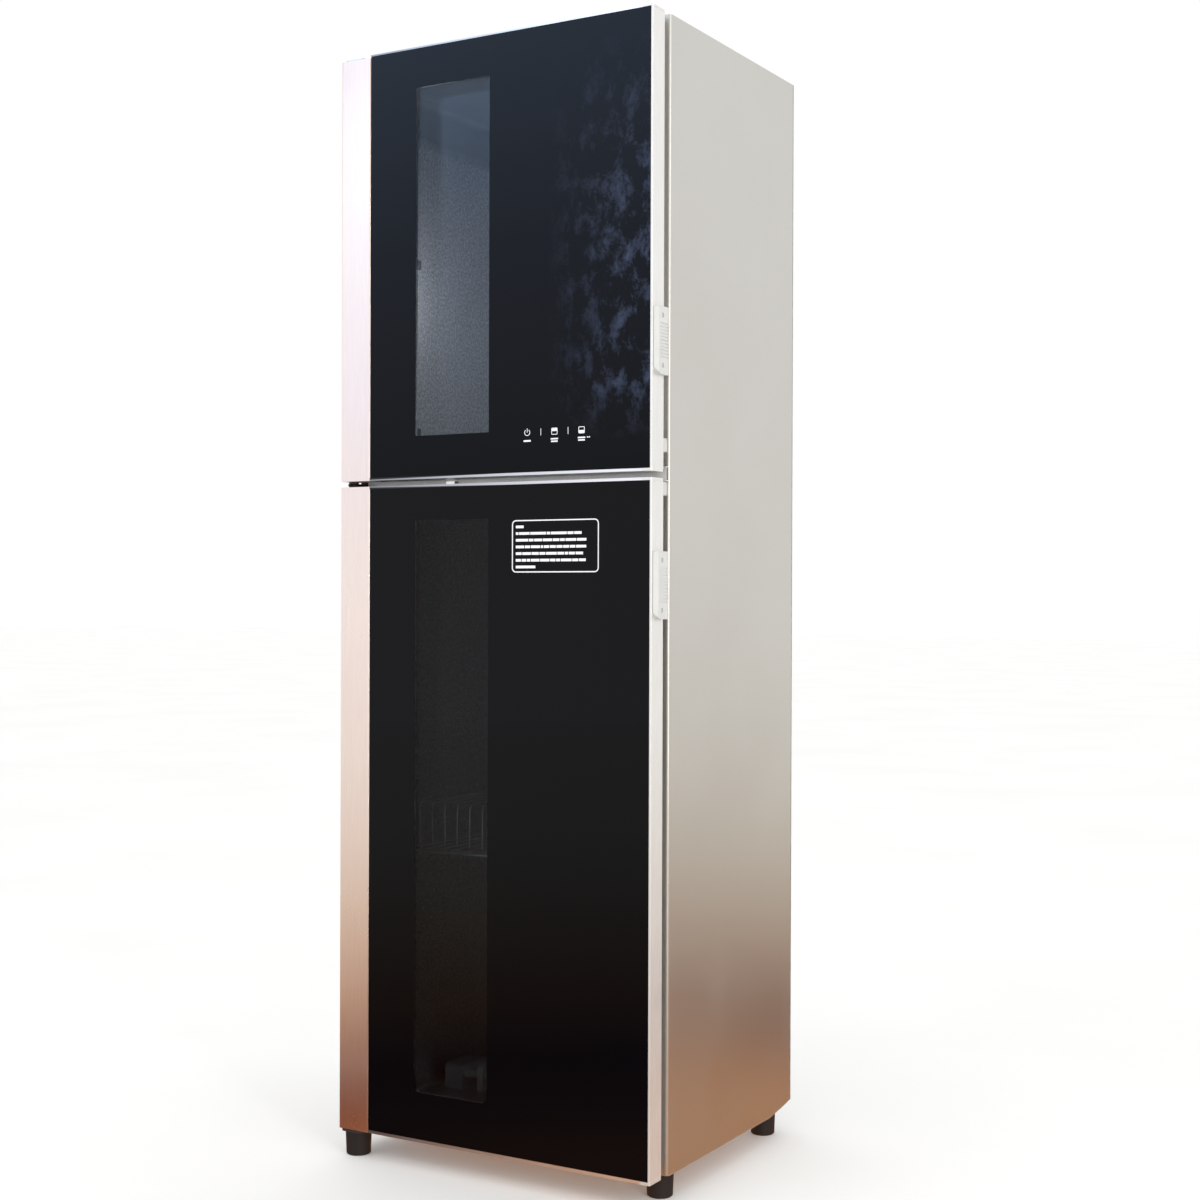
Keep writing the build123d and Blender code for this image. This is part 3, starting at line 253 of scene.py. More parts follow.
def rose_trim():
    """Satin rose-gold metal with a fine upright grain, with painted shade that darkens it towards the top.
    """
    material, tree = new_material("rose_trim")
    principled = shader(tree, ROSE_LOW, 1.0, 0.29)
    grain = noise(tree, 1500.0, 3.0, (1.0, 1.0, 0.02))
    broad = noise(tree, 6.0, 4.0)
    apart = object_axes(tree)
    upwards = spread(tree, apart, "Z", 0.0, 1.0, *ROSE_PAINTED_SHADE_SPAN)
    # Painted shade: the colour darkens over the upper part of the trim.
    painted_shade_tone = tint(tree, upwards, "Result", ROSE_LOW, ROSE_PAINTED_SHADE_TOP, 0.0, 1.0)
    middle = painted_shade_tone.color_ramp.elements.new(0.5)
    middle.color = (*ROSE_PAINTED_SHADE_MIDDLE, 1.0)
    streak = spread(tree, grain, "Fac", 0.96, 1.04, 0.3, 0.7)
    colour = add_node(tree, "ShaderNodeVectorMath", operation="SCALE")
    link(tree, painted_shade_tone, "Color", colour, 0)
    link(tree, streak, "Result", colour, "Scale")
    link(tree, colour, "Vector", principled, "Base Color")
    gloss = spread(tree, broad, "Fac", 0.26, 0.32)
    link(tree, gloss, "Result", principled, "Roughness")
    bump(tree, principled, grain, "Fac", 0.08, 0.03 * MM)
    return material


# Where the upper chamber's walls give way to painted shade on its ceiling
CEILING_LOW, CEILING_HIGH = level(1372.0), level(1392.0)
CEILING_PAINTED_SHADE = 0.30


def liner_steel():
    """Bright chamber sheet with a rolled speckle, lighter and darker by patches, and painted shade that
    darkens it on the ceiling.
    """
    material, tree = new_material("liner_steel")
    color = (0.62, 0.62, 0.63)
    principled = shader(tree, color, 0.85, 0.42)
    speckle = noise(tree, 270.0, 4.0, roughness=0.65)
    patches = noise(tree, 7.0, 3.0)
    grain = tint(tree, speckle, "Fac", scaled(color, 0.62), scaled(color, 1.28), 0.36, 0.64)
    apart = object_axes(tree)
    # Painted shade: the colour darkens above the walls, on the ceiling.
    painted_ceiling_shade = spread(tree, apart, "Z", 1.0, CEILING_PAINTED_SHADE, CEILING_LOW, CEILING_HIGH)
    colour = add_node(tree, "ShaderNodeVectorMath", operation="SCALE")
    link(tree, grain, "Color", colour, 0)
    link(tree, painted_ceiling_shade, "Result", colour, "Scale")
    link(tree, colour, "Vector", principled, "Base Color")
    gloss = spread(tree, patches, "Fac", 0.36, 0.48)
    link(tree, gloss, "Result", principled, "Roughness")
    bump(tree, principled, speckle, "Fac", 0.55, 0.25 * MM)
    return material


def galvanised():
    """Zinc-coated sheet with flat crystals of slightly different tones."""
    material, tree = new_material("galvanised")
    color = (0.60, 0.61, 0.62)
    principled = shader(tree, color, 0.8, 0.40)
    place = add_node(tree, "ShaderNodeTexCoord")
    crystals = add_node(tree, "ShaderNodeTexVoronoi")
    crystals.inputs["Scale"].default_value = 95.0
    link(tree, place, "Object", crystals, "Vector")
    colour = tint(tree, crystals, "Color", scaled(color, 0.86), scaled(color, 1.12), 0.1, 0.9)
    link(tree, colour, "Color", principled, "Base Color")
    gloss = spread(tree, crystals, "Color", 0.34, 0.48, 0.1, 0.9)
    link(tree, gloss, "Result", principled, "Roughness")
    fine = noise(tree, 700.0, 2.0)
    bump(tree, principled, fine, "Fac", 0.10, 0.04 * MM)
    return material


GLASS_IOR = 1.22                 # gives the faint mirror of the photographed glass in a bright studio


def clear_glass(name, ior=GLASS_IOR, haze=(0.90, 0.93, 0.95)):
    """Thin glass: lets light straight through and mirrors more at flat angles."""
    material, tree = new_material(name)
    through = add_node(tree, "ShaderNodeBsdfTransparent")
    through.inputs["Color"].default_value = (*haze, 1.0)
    mirror = add_node(tree, "ShaderNodeBsdfGlossy")
    mirror.inputs["Color"].default_value = (1.0, 1.0, 1.0, 1.0)
    mirror.inputs["Roughness"].default_value = 0.01
    fresnel = add_node(tree, "ShaderNodeFresnel")
    fresnel.inputs["IOR"].default_value = ior
    wipe = noise(tree, 6.0, 5.0, (1.0, 1.0, 0.6))
    clean = tuple(channel * 0.97 for channel in haze)
    film = tint(tree, wipe, "Fac", clean, haze)
    link(tree, film, "Color", through, "Color")
    both = add_node(tree, "ShaderNodeMixShader")
    link(tree, fresnel, "Fac", both, "Fac")
    link(tree, through, "BSDF", both, 1)
    link(tree, mirror, "BSDF", both, 2)
    output = add_node(tree, "ShaderNodeOutputMaterial")
    link(tree, both, "Shader", output, "Surface")
    return material


BLACK_PRINT = (0.002, 0.0022, 0.003)
SMEAR_TONE = (0.048, 0.062, 0.110)
SMEARS_ACROSS = (across(335.0), across(465.0))              # from none to full
SMEARS_LOW = (level(930.0), level(1000.0))
SMEARS_HIGH = (level(1250.0), level(1450.0))                # from full to none


def black_glass():
    """Black-backed glass, with hand smears on the handle side of the upper door."""
    material, tree = new_material("black_glass")
    principled = shader(tree, BLACK_PRINT, 0.0, 0.03)
    principled.inputs["IOR"].default_value = GLASS_IOR
    smears = noise(tree, 34.0, 10.0, (1.0, 1.0, 0.7), 0.76, 0.2)
    smear = spread(tree, smears, "Fac", 0.0, 1.0, 0.49, 0.74)
    apart = object_axes(tree)
    to_handle = spread(tree, apart, "X", 0.0, 1.0, *SMEARS_ACROSS)
    above = spread(tree, apart, "Z", 0.0, 1.0, *SMEARS_LOW)
    below = spread(tree, apart, "Z", 1.0, 0.0, *SMEARS_HIGH)
    mask = product(tree, smear, to_handle, above, below)
    colour = tint(tree, mask, 0, BLACK_PRINT, SMEAR_TONE, 0.0, 0.75)
    link(tree, colour, "Color", principled, "Base Color")
    return material


LIP_REACH = 20.0                 # millimetres from the gap that the material measures
LIP_HIGHLIGHT_WIDTH = (1.3, 4.4)            # the painted highlight's width on the hinge side and on the handle side
FAR_RAIL = (15.0, 16.0)          # beyond this distance lies the door's other rail, with no painted shade on it


def lip_painted_light(name, edge, outwards, painted_shade_hinge_side, painted_light_handle_side):
    """Polished lip of a door rail with painted light: a painted highlight along the gap that widens towards
    the handle side, and painted shade on the rest of the face, deeper towards the hinge side.
    """
    material, tree = new_material(name)
    principled = shader(tree, painted_light_handle_side, 0.9, 0.35)
    apart = object_axes(tree)
    along = spread(tree, apart, "X", 0.0, 1.0, across(60.0), across(440.0))
    # Painted shade: darker towards the hinge side.
    painted_shade_across = tint(tree, along, "Result", painted_shade_hinge_side, painted_light_handle_side, 0.0, 1.0)
    width = spread(tree, apart, "X", *LIP_HIGHLIGHT_WIDTH, across(40.0), across(360.0))
    distance = spread(tree, apart, "Z", 0.0, LIP_REACH, edge, edge + outwards * LIP_REACH * MM)
    inside = add_node(tree, "ShaderNodeMath", operation="SUBTRACT")
    link(tree, width, "Result", inside, 0)
    link(tree, distance, "Result", inside, 1)
    # Painted highlight: the bright line along the gap.
    line = spread(tree, inside, "Value", 0.0, 1.0, -0.2, 0.2)
    elsewhere = spread(tree, distance, "Result", 0.0, 1.0, *FAR_RAIL)
    either = add_node(tree, "ShaderNodeMath", operation="MAXIMUM")
    link(tree, line, "Result", either, 0)
    link(tree, elsewhere, "Result", either, 1)
    # Painted shade on the face away from the line and the other rail.
    strength = spread(tree, either, "Value", 0.12, 1.0, 0.0, 1.0)
    colour = add_node(tree, "ShaderNodeVectorMath", operation="SCALE")
    link(tree, painted_shade_across, "Color", colour, 0)
    link(tree, strength, "Result", colour, "Scale")
    link(tree, colour, "Vector", principled, "Base Color")
    grain = noise(tree, 900.0, 3.0, (0.03, 1.0, 1.0))
    gloss = spread(tree, grain, "Fac", 0.30, 0.40)
    link(tree, gloss, "Result", principled, "Roughness")
    return material


SENSOR_CAP = 0.78                # the white share of the sensor's length


def sensor_painted_glow():
    """White sensor cap with a dark end; its emission is a painted glow that brightens the cap in the shade
    between the doors.
    """
    material, tree = new_material("sensor_painted_glow")
    principled = shader(tree, (0.90, 0.90, 0.91), 0.0, 0.35)
    # Painted glow: the cap shines though it is no lamp.
    principled.inputs["Emission Color"].default_value = (1.0, 1.0, 1.0, 1.0)
    principled.inputs["Emission Strength"].default_value = 0.7
    apart = object_axes(tree)
    low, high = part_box("door_sensor")
    dark_end = low.x + SENSOR_CAP * (high.x - low.x)
    end = spread(tree, apart, "X", 0.0, 1.0, dark_end, dark_end + 0.5 * MM)
    cap = tint(tree, end, "Result", (0.90, 0.90, 0.91), (0.05, 0.05, 0.05), 0.0, 1.0)
    link(tree, cap, "Color", principled, "Base Color")
    link(tree, cap, "Color", principled, "Emission Color")
    fine = noise(tree, 1500.0, 2.0)
    bump(tree, principled, fine, "Fac", 0.08, 0.03 * MM)
    return material


def glass_wool():
    """Pale fibres, matt and uneven."""
    material, tree = new_material("wool")
    principled = shader(tree, (0.80, 0.74, 0.50), 0.0, 0.95)
    fibres = noise(tree, 160.0, 8.0, (1.0, 0.25, 1.0), 0.7)
    colour = tint(tree, fibres, "Fac", (0.62, 0.55, 0.33), (0.92, 0.87, 0.64))
    link(tree, colour, "Color", principled, "Base Color")
    bump(tree, principled, fibres, "Fac", 0.8, 1.5 * MM)
    return material


finishes = {
    "side_paint": side_paint(),
    "rose_trim": rose_trim(),
    "bright_aluminium": metal("bright_aluminium", (0.80, 0.79, 0.77), 0.42, 1200.0, (1.0, 1.0, 0.03),
                              metallic=0.6),
    "front_glass": clear_glass("front_glass"),
    "clear_glass": clear_glass("clear_glass", 1.2, (0.86, 0.88, 0.90)),
    "liner_steel": liner_steel(),
    "galvanised": galvanised(),
    "smooth_sheet": metal("smooth_sheet", (0.80, 0.80, 0.79), 0.32, 800.0, (0.05, 1.0, 1.0), metallic=0.45),
    "inner_sheet": moulded("inner_sheet", (0.16, 0.165, 0.17), 0.5),
    "gasket_rubber": moulded("gasket_rubber", (0.78, 0.77, 0.76), 0.6),
    # A darker copy of the gasket rubber: painted shade for the lower door's gasket.
    "gasket_painted_shade": moulded("gasket_painted_shade", (0.36, 0.34, 0.32), 0.6),
    "black_rubber": moulded("black_rubber", (0.012, 0.012, 0.013), 0.55, 700.0, 0.3),
    "grip_plastic": moulded("grip_plastic", (0.60, 0.595, 0.575), 0.34, coat=0.1),
    "hinge_steel": metal("hinge_steel", (0.62, 0.62, 0.60), 0.33),
    "rack_wire": metal("rack_wire", (0.86, 0.87, 0.88), 0.16, 500.0, vary=0.02, grain=0.05,
                       metallic=0.55),
    "quartz": moulded("quartz", (0.78, 0.77, 0.73), 0.2, coat=0.5),
    "ceramic": moulded("ceramic", (0.74, 0.71, 0.64), 0.55),
    "board": moulded("board", (0.02, 0.09, 0.035), 0.35, 300.0, 0.2, 0.25),
    "wool": glass_wool(),
    "electric_box": moulded("electric_box", (0.03, 0.03, 0.032), 0.5),
    "black_glass": black_glass(),
    # A darker copy of the front glass: painted shade that dims the lower chamber seen through it.
    "pane_painted_shade": clear_glass("pane_painted_shade", GLASS_IOR, (0.60, 0.60, 0.61)),
    "upper_lip_painted_light": lip_painted_light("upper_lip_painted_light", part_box("upper_door_rails")[0].z, 1, (0.30, 0.31, 0.34),
                           (0.90, 0.90, 0.91)),
    "lower_lip_painted_light": lip_painted_light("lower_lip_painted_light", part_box("lower_door_rails")[1].z, -1, (0.26, 0.27, 0.30),
                           (0.90, 0.90, 0.91)),
    # Painted shade: near-black for the middle hinge, its pins and screws in the gap between the doors.
    "hinge_painted_shade": metal("hinge_painted_shade", (0.045, 0.032, 0.028), 0.65),
    "sensor_painted_glow": sensor_painted_glow(),
    "white_print": moulded("white_print", (0.86, 0.87, 0.88), 0.6, 2000.0, 0.05),
}

# Pieces whose look differs a little from the rest of their slot
OWN_FINISH = {
    "upper_door_rails": "upper_lip_painted_light", "lower_door_rails": "lower_lip_painted_light", "mid_hinge": "hinge_painted_shade",
    "door_sensor": "sensor_painted_glow", "upper_door_end_blocks": "bright_aluminium",
    "lower_door_end_blocks": "bright_aluminium", "hinge_pins": "hinge_painted_shade",
    "hinge_screws": "hinge_painted_shade", "lower_door_gasket": "gasket_painted_shade",
    "front_frame": "smooth_sheet", "drip_tray": "smooth_sheet", "heater_boxes": "smooth_sheet",
    # The door bushes take the dark box plastic as painted shade in the gap.
    "upper_door_bushes": "electric_box", "lower_door_bushes": "electric_box",
}
for entry in frame["record"]["subparts"]:
    node = nodes[entry["node"]]
    node.data.materials.clear()
    node.data.materials.append(finishes[OWN_FINISH.get(entry["node"], entry["material_slot"])])


# ---------------------------------------------------------------- flat printed shapes

def ring_of(x, z, radius, start=0.0, end=360.0, steps=48):
    """Points on an arc in the door's plane, from start to end in degrees."""
    count = max(3, int(steps * abs(end - start) / 360.0))
    closed = abs(end - start) >= 360.0
    span = count if closed else count - 1
    angles = [math.radians(start + (end - start) * i / span) for i in range(count)]
    return [(x + radius * math.cos(a), z + radius * math.sin(a)) for a in angles]


def rounded(x0, x1, z0, z1, low_radius=0.0, high_radius=0.0, steps=8):
    """Rectangle whose lower and upper corners have their own radii."""
    corners = (
        (x1, z0, -1, 1, low_radius, 270.0), (x1, z1, -1, -1, high_radius, 0.0),
        (x0, z1, 1, -1, high_radius, 90.0), (x0, z0, 1, 1, low_radius, 180.0),
    )
    points = []
    for x, z, to_x, to_z, radius, start in corners:
        if radius <= 0.0:
            points.append((x, z))
            continue
        centre = (x + to_x * radius, z + to_z * radius)
        for i in range(steps + 1):
            a = math.radians(start + 90.0 * i / steps)
            points.append((centre[0] + radius * math.cos(a), centre[1] + radius * math.sin(a)))
    return points


def printed(name, outlines, y, thickness, material, body):
    """Flat piece in the door's plane: outlines within outlines are holes. It grows from y to the back."""
    curve = bpy.data.curves.new(name + "_outline", "CURVE")
    curve.dimensions = "2D"
    curve.fill_mode = "BOTH"
    curve.extrude = thickness / 2
    for points in outlines:
        spline = curve.splines.new("POLY")
        spline.points.add(len(points) - 1)
        for point, (x, z) in zip(spline.points, points):
            point.co = (x, z, 0.0, 1.0)
        spline.use_cyclic_u = True
    holder = bpy.data.objects.new(name + "_outline", curve)
    bpy.context.scene.collection.objects.link(holder)
    bpy.context.view_layer.update()
    mesh = bpy.data.meshes.new_from_object(holder.evaluated_get(bpy.context.evaluated_depsgraph_get()))
    bpy.data.objects.remove(holder)
    stand_up = Matrix.Rotation(math.radians(90.0), 4, "X")
    mesh.transform(Matrix.Translation((0.0, y + thickness / 2, 0.0)) @ stand_up)
    mesh.name = name
    piece = bpy.data.objects.new(name, mesh)
    bpy.context.scene.collection.objects.link(piece)
    mesh.materials.clear()
    mesh.materials.append(material)
    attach(piece, body)
    return piece


# ---------------------------------------------------------------- printed glass

WINDOW_LEFT, WINDOW_RIGHT = across(127.0), across(245.0)
UPPER_WINDOW = (level(948.0), level(1415.0), 0.0, 0.0)          # low, high, corner radii in metres
LOWER_WINDOW = (level(67.0), level(835.0), 9.0 * MM, 0.0)
WINDOW_JOINT = 0.02 * MM         # hair line between the printed and the clear glass
MARK_THICKNESS = 0.05 * MM
GROUND_EDGE = 0.4 * MM


def door_glass(door, window, pane_finish):
    """One glass: black-printed all round, with the window left clear."""
    node = f"{door}_door_glass"
    low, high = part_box(node)
    body = f"{door}_door"
    window_low, window_high, low_radius, high_radius = window
    outer = rounded(low.x, high.x, low.z, high.z)
    inner = rounded(WINDOW_LEFT, WINDOW_RIGHT, window_low, window_high, low_radius, high_radius)
    glass = printed(f"{door}_glass", [outer, inner], low.y, high.y - low.y, finishes["black_glass"],
                    body)
    ground = glass.modifiers.new("ground_edges", "BEVEL")
    ground.width = GROUND_EDGE
    ground.segments = 2
    ground.limit_method = "ANGLE"
    ground.angle_limit = math.radians(60.0)
    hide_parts(node)
    joint = WINDOW_JOINT
    pane = rounded(WINDOW_LEFT + joint, WINDOW_RIGHT - joint, window_low + joint, window_high - joint,
                   low_radius, high_radius)
    printed(f"{door}_glass_window", [pane], low.y, high.y - low.y, finishes[pane_finish], body)


door_glass("upper", UPPER_WINDOW, "front_glass")
door_glass("lower", LOWER_WINDOW, "pane_painted_shade")


def mark(name, outlines, body):
    """White mark on the face of the glass."""
    return printed(name, outlines, glass_front - MARK_THICKNESS, MARK_THICKNESS, finishes["white_print"],
                   body)


def bar(x0, x1, z0, z1):
    """Rectangle in millimetres from the cabinet's left side and the doors' underside."""
    return rounded(across(x0), across(x1), level(z0), level(z1))


def words(x, z, height, lengths, gap):
    """A row of plain bars where a printed line stands."""
    bars = []
    for length in lengths:
        bars.append(bar(x, x + length, z, z + height))
        x += length + gap
    return bars


# Touch keys: a power sign and one sign for each chamber, with dividers and plain bars below
KEY_LEVEL = 945.0
KEY_POWER, KEY_UPPER, KEY_LOWER = 305.0, 346.4, 387.0
KEY_SIZE = 4.6                   # half the width of a chamber sign
KEY_LINE = 0.9
DIVIDERS = (325.8, 366.9)


def power_sign():
    """Open ring with an upright stroke."""
    x, z = across(KEY_POWER), level(KEY_LEVEL)
    outer = ring_of(x, z, 4.4 * MM, 125.0, 415.0)
    inner = ring_of(x, z, (4.4 - KEY_LINE) * MM, 415.0, 125.0)
    stroke = bar(KEY_POWER - KEY_LINE / 2, KEY_POWER + KEY_LINE / 2, KEY_LEVEL, KEY_LEVEL + 5.2)
    return [outer + inner, stroke]


def chamber_sign(x, filled_low, filled_high):
    """Small cabinet outline with one part filled."""
    z = KEY_LEVEL
    outer = rounded(across(x - KEY_SIZE), across(x + KEY_SIZE), level(z - 4.4), level(z + 4.4),
                    1.4 * MM, 1.4 * MM)
    inset = KEY_SIZE - KEY_LINE
    inner = rounded(across(x - inset), across(x + inset), level(z - 4.4 + KEY_LINE),
                    level(z + 4.4 - KEY_LINE), 0.6 * MM, 0.6 * MM)
    return [outer, inner], bar(x - inset, x + inset, z + filled_low, z + filled_high)


def touch_marks():
    """All the marks on the upper glass."""
    ring, stroke = power_sign()
    mark("power_sign_ring", [ring], "upper_door")
    mark("power_sign_stroke", [stroke], "upper_door")
    for name, x, filled in (("upper", KEY_UPPER, (0.2, 3.6)), ("lower", KEY_LOWER, (-3.6, -0.2))):
        outline, fill = chamber_sign(x, *filled)
        mark(f"{name}_key_outline", outline, "upper_door")
        mark(f"{name}_key_fill", [fill], "upper_door")
    dividers = [bar(x - 0.4, x + 0.4, KEY_LEVEL - 4.5, KEY_LEVEL + 4.5) for x in DIVIDERS]
    mark("key_dividers", dividers, "upper_door")
    captions = words(KEY_POWER - 5.5, 933.0, 2.2, (11.0,), 1.0)
    captions += words(KEY_UPPER - 5.5, 934.4, 1.9, (11.0,), 1.0)
    captions += words(KEY_UPPER - 5.0, 931.2, 1.9, (10.0,), 1.0)
    captions += words(KEY_LOWER - 5.5, 934.4, 1.9, (11.0,), 1.0)
    captions += words(KEY_LOWER - 5.0, 931.2, 1.9, (10.0,), 1.0)
    captions += words(KEY_LOWER + 8.0, 934.8, 1.6, (1.8, 1.8), 0.8)
    mark("key_captions", captions, "upper_door")


# Note on the lower glass: a rounded outline around plain bars
NOTE_LEFT, NOTE_RIGHT, NOTE_LOW, NOTE_HIGH = 282.0, 413.0, 764.0, 832.0
NOTE_LINE = 1.5
NOTE_CORNER = 6.0
NOTE_ROWS = (
    (12.0,),
    (4.0, 16.0, 24.0, 5.0, 24.0, 9.0, 11.0),
    (19.0, 7.0, 12.0, 14.0, 10.0, 7.0, 16.0, 14.0),
    (13.0, 8.0, 14.0, 3.5, 8.0, 9.0, 9.0, 9.0, 8.0, 15.0),
    (9.0, 13.0, 11.0, 9.0, 16.0, 10.0, 5.0, 9.0, 11.0),
    (8.0, 7.0, 5.0, 13.0, 14.0, 8.0, 6.0, 16.0, 9.0, 10.0),
    (30.0,),
)


def note_marks():
    """Outline and rows of bars on the lower glass."""
    line = NOTE_LINE * MM
    x0, x1 = across(NOTE_LEFT), across(NOTE_RIGHT)
    z0, z1 = level(NOTE_LOW), level(NOTE_HIGH)
    corner = NOTE_CORNER * MM
    mark("note_outline", [rounded(x0, x1, z0, z1, corner, corner),
                          rounded(x0 + line, x1 - line, z0 + line, z1 - line, corner - line, corner - line)],
         "lower_door")
    row_pitch = (NOTE_HIGH - NOTE_LOW - 16.0) / (len(NOTE_ROWS) - 1)
    bars = []
    for i, lengths in enumerate(NOTE_ROWS):
        bars += words(NOTE_LEFT + 6.0, NOTE_HIGH - 10.5 - i * row_pitch, 3.4, lengths, 1.1)
    mark("note_lines", bars, "lower_door")


touch_marks()
note_marks()


# ---------------------------------------------------------------- studio

def aim(obj, target):
    """Turn a light or camera towards a point."""
    direction = Vector(target) - obj.location
    obj.rotation_euler = direction.to_track_quat("-Z", "Y").to_euler()


def soft_light(name, place, target, size, energy, color=(1.0, 1.0, 1.0)):
    """Rectangular soft light."""
    data = bpy.data.lights.new(name, "AREA")
    data.shape = "RECTANGLE"
    data.size, data.size_y = size
    data.energy = energy
    data.color = color
    light = bpy.data.objects.new(name, data)
    bpy.context.scene.collection.objects.link(light)
    light.location = place
    aim(light, target)
    return light


def stage_mesh(name, corners, material):
    """Flat stage piece from its corners."""
    mesh = bpy.data.meshes.new(name)
    mesh.from_pydata(corners, [], [tuple(range(len(corners)))])
    mesh.materials.append(material)
    piece = bpy.data.objects.new(name, mesh)
    bpy.context.scene.collection.objects.link(piece)
    return piece


def only_in_reflections(piece):
    """Card that no camera sees and that throws no light or shadow but in reflections."""
    piece.visible_camera = False
    piece.visible_diffuse = False
    piece.visible_transmission = False
    piece.visible_shadow = False
    piece.visible_volume_scatter = False


def floor_material():
    """Plain pale floor."""
    material, tree = new_material("pale_floor")
    principled = shader(tree, (0.88, 0.88, 0.87), 0.0, 0.8)
    principled.inputs["Emission Color"].default_value = (1.0, 1.0, 1.0, 1.0)
    principled.inputs["Emission Strength"].default_value = 0.10
    cloud = noise(tree, 1.5, 3.0)
    colour = tint(tree, cloud, "Fac", (0.87, 0.87, 0.86), (0.90, 0.90, 0.89))
    link(tree, colour, "Color", principled, "Base Color")
    return material


def card_material(name, stops, axis_scale, axis_shift, radial=False):
    """Glowing card whose colour runs through the stops along its own Z, or outwards from the origin."""
    material, tree = new_material(name)
    place = add_node(tree, "ShaderNodeTexCoord")
    if radial:
        measure = add_node(tree, "ShaderNodeVectorMath", operation="LENGTH")
        link(tree, place, "Object", measure, 0)
        source, output = measure, "Value"
    else:
        measure = add_node(tree, "ShaderNodeSeparateXYZ")
        link(tree, place, "Object", measure, "Vector")
        source, output = measure, "Z"
    remap = spread(tree, source, output, 0.0, 1.0, axis_shift, axis_shift + axis_scale)
    ramp = add_node(tree, "ShaderNodeValToRGB")
    elements = ramp.color_ramp.elements
    while len(elements) < len(stops):
        elements.new(0.5)
    for element, (position, color) in zip(elements, stops):
        element.position = position
        element.color = (*color, 1.0)
    link(tree, remap, "Result", ramp, "Fac")
    glow = add_node(tree, "ShaderNodeEmission")
    link(tree, ramp, "Color", glow, "Color")
    output_node = add_node(tree, "ShaderNodeOutputMaterial")
    link(tree, glow, "Emission", output_node, "Surface")
    return material


FLOOR_HALF = 30.0
floor = stage_mesh("floor", [(-FLOOR_HALF, -FLOOR_HALF, 0), (FLOOR_HALF, -FLOOR_HALF, 0),
                             (FLOOR_HALF, FLOOR_HALF, 0), (-FLOOR_HALF, FLOOR_HALF, 0)], floor_material())
floor.visible_glossy = False

# A warm floor and a bluish window that only reflections show, as around the photographed cabinet
WARM_CENTRE = (0.35, 0.0, -0.002)
WARM_RADIUS = 9.0
WARM_SIDES = 64
WARM_STOPS = ((0.0, (0.48, 0.18, 0.03)), (0.05, (0.50, 0.18, 0.03)), (0.08, (0.22, 0.055, 0.008)),
              (0.115, (0.12, 0.02, 0.004)), (0.16, (0.43, 0.20, 0.08)), (0.23, (0.58, 0.42, 0.28)),
              (0.31, (0.73, 0.65, 0.53)), (0.46, (0.87, 0.83, 0.77)), (1.0, (0.95, 0.94, 0.93)))
warm_angles = [math.tau * i / WARM_SIDES for i in range(WARM_SIDES)]
warm_floor = stage_mesh("warm_floor_card",
                        [(WARM_RADIUS * math.cos(a), WARM_RADIUS * math.sin(a), 0.0) for a in warm_angles],
                        card_material("warm_floor_card", WARM_STOPS, WARM_RADIUS, 0.0, radial=True))
warm_floor.location = WARM_CENTRE
only_in_reflections(warm_floor)

SKY_STOPS = ((0.0, (0.80, 0.82, 0.88)), (0.45, (1.15, 1.35, 1.8)), (1.0, (2.1, 2.9, 4.2)))
SKY_LOW, SKY_HIGH = 1.15, 2.9
SKY_LEFT, SKY_RIGHT, SKY_Y = -2.9, -1.3, -3.3
sky = stage_mesh("window_card",
                 [(SKY_LEFT, SKY_Y, SKY_LOW), (SKY_RIGHT, SKY_Y, SKY_LOW),
                  (SKY_RIGHT, SKY_Y, SKY_HIGH), (SKY_LEFT, SKY_Y, SKY_HIGH)],
                 card_material("window_card", SKY_STOPS, SKY_HIGH - SKY_LOW, SKY_LOW))
only_in_reflections(sky)

world = bpy.data.worlds.new("studio")
world.use_nodes = True
world.node_tree.nodes["Background"].inputs["Color"].default_value = (1.0, 1.0, 1.0, 1.0)
world.node_tree.nodes["Background"].inputs["Strength"].default_value = 1.0
bpy.context.scene.world = world

key = soft_light("key", (-0.9, -2.6, 2.9), (0.0, 0.0, 1.0), (2.0, 1.2), 12.0)
key.visible_glossy = False
soft_light("edge_strip", (2.9, -1.9, 1.0), (0.25, -0.15, 0.8), (0.5, 2.6), 30.0)


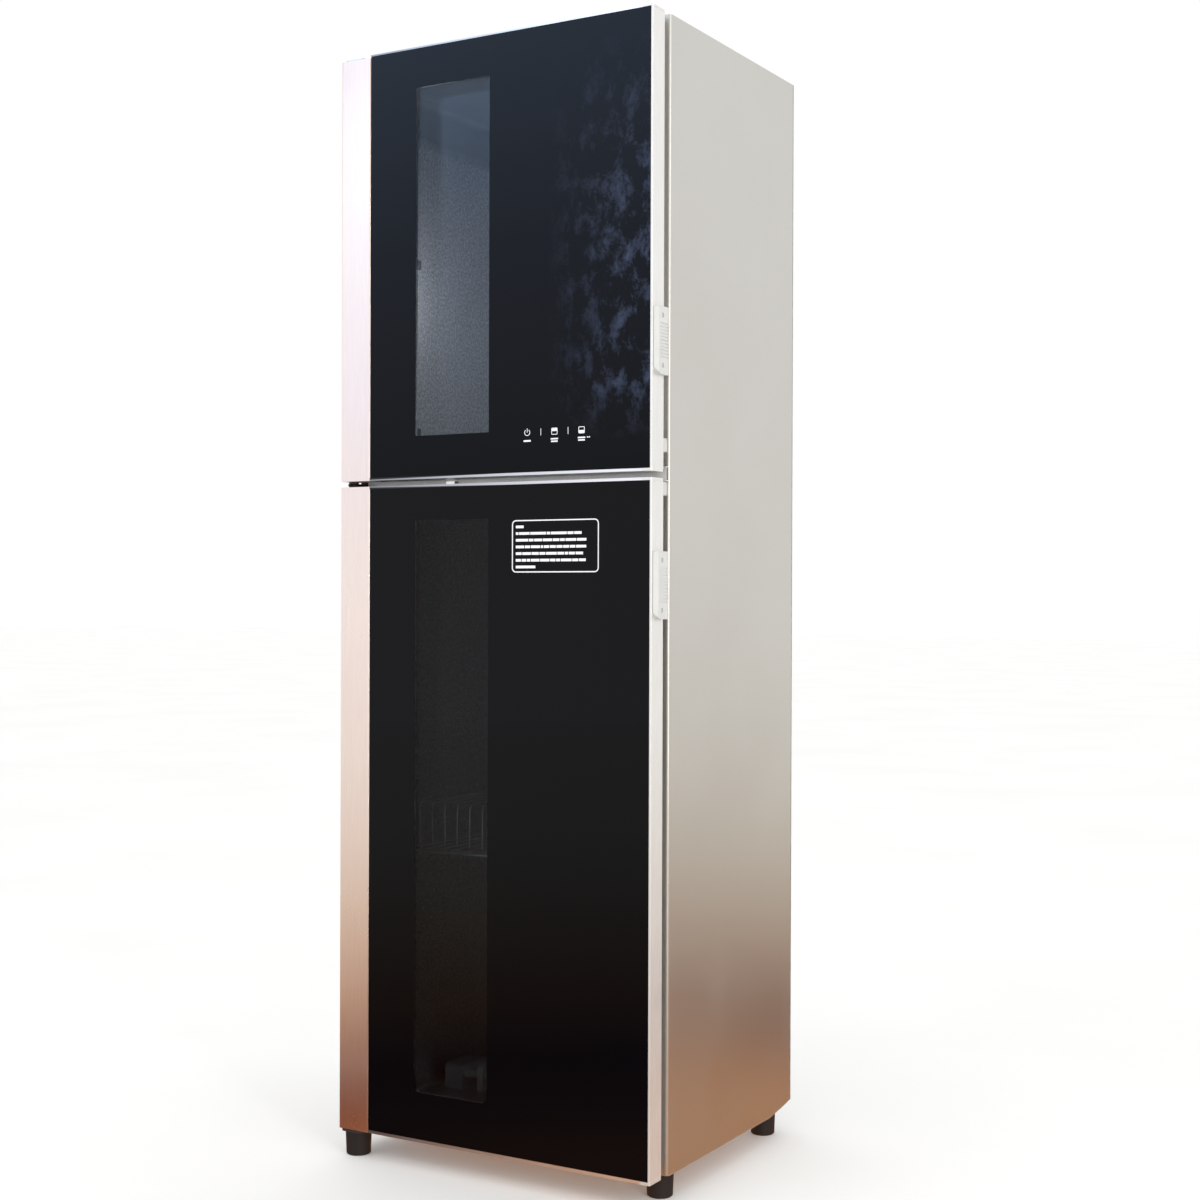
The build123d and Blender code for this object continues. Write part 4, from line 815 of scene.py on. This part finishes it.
def chamber_glow(name, node, place, energy, color, radius, glints):
    """Faint soft glow inside a chamber, for the light that the glass lets in."""
    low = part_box(node)[0]
    data = bpy.data.lights.new(name, "POINT")
    data.shadow_soft_size = radius
    data.energy = energy
    data.color = color
    light = bpy.data.objects.new(name, data)
    bpy.context.scene.collection.objects.link(light)
    light.location = low + Vector(place)
    light.visible_camera = False
    light.visible_glossy = glints


chamber_glow("upper_glow", "upper_liner", (0.095, 0.030, 0.235), 2.2, (1.0, 0.97, 0.98), 0.05, False)
chamber_glow("lower_glow", "lower_liner", (0.163, 0.012, 0.11), 0.06, (0.88, 0.96, 1.0), 0.02, True)

# Camera where the photograph was taken from
CAMERA_PLACE = (1.338, -2.1979, 0.7714)
CAMERA_YAW, CAMERA_PITCH, CAMERA_ROLL = 30.4297, -0.1374, 0.1819
FOCAL_PIXELS, FRAME_PIXELS, SENSOR = 1825.14, 1200.0, 36.0

camera_data = bpy.data.cameras.new("camera")
camera_data.sensor_width = SENSOR
camera_data.lens = FOCAL_PIXELS / FRAME_PIXELS * SENSOR
camera_data.clip_end = 100.0
camera = bpy.data.objects.new("camera", camera_data)
bpy.context.scene.collection.objects.link(camera)
yaw, pitch, roll = (math.radians(a) for a in (CAMERA_YAW, CAMERA_PITCH, CAMERA_ROLL))
forward = Vector((-math.sin(yaw) * math.cos(pitch), math.cos(yaw) * math.cos(pitch), math.sin(pitch)))
sideways = Vector((math.cos(yaw), math.sin(yaw), 0.0))
upwards = sideways.cross(forward)
rolled_side = math.cos(roll) * sideways + math.sin(roll) * upwards
rolled_up = -math.sin(roll) * sideways + math.cos(roll) * upwards
camera.matrix_world = Matrix.Translation(CAMERA_PLACE) @ Matrix((
    (rolled_side.x, rolled_up.x, -forward.x, 0.0),
    (rolled_side.y, rolled_up.y, -forward.y, 0.0),
    (rolled_side.z, rolled_up.z, -forward.z, 0.0),
    (0.0, 0.0, 0.0, 1.0),
))
bpy.context.scene.camera = camera
bpy.context.scene.view_settings.view_transform = "Standard"
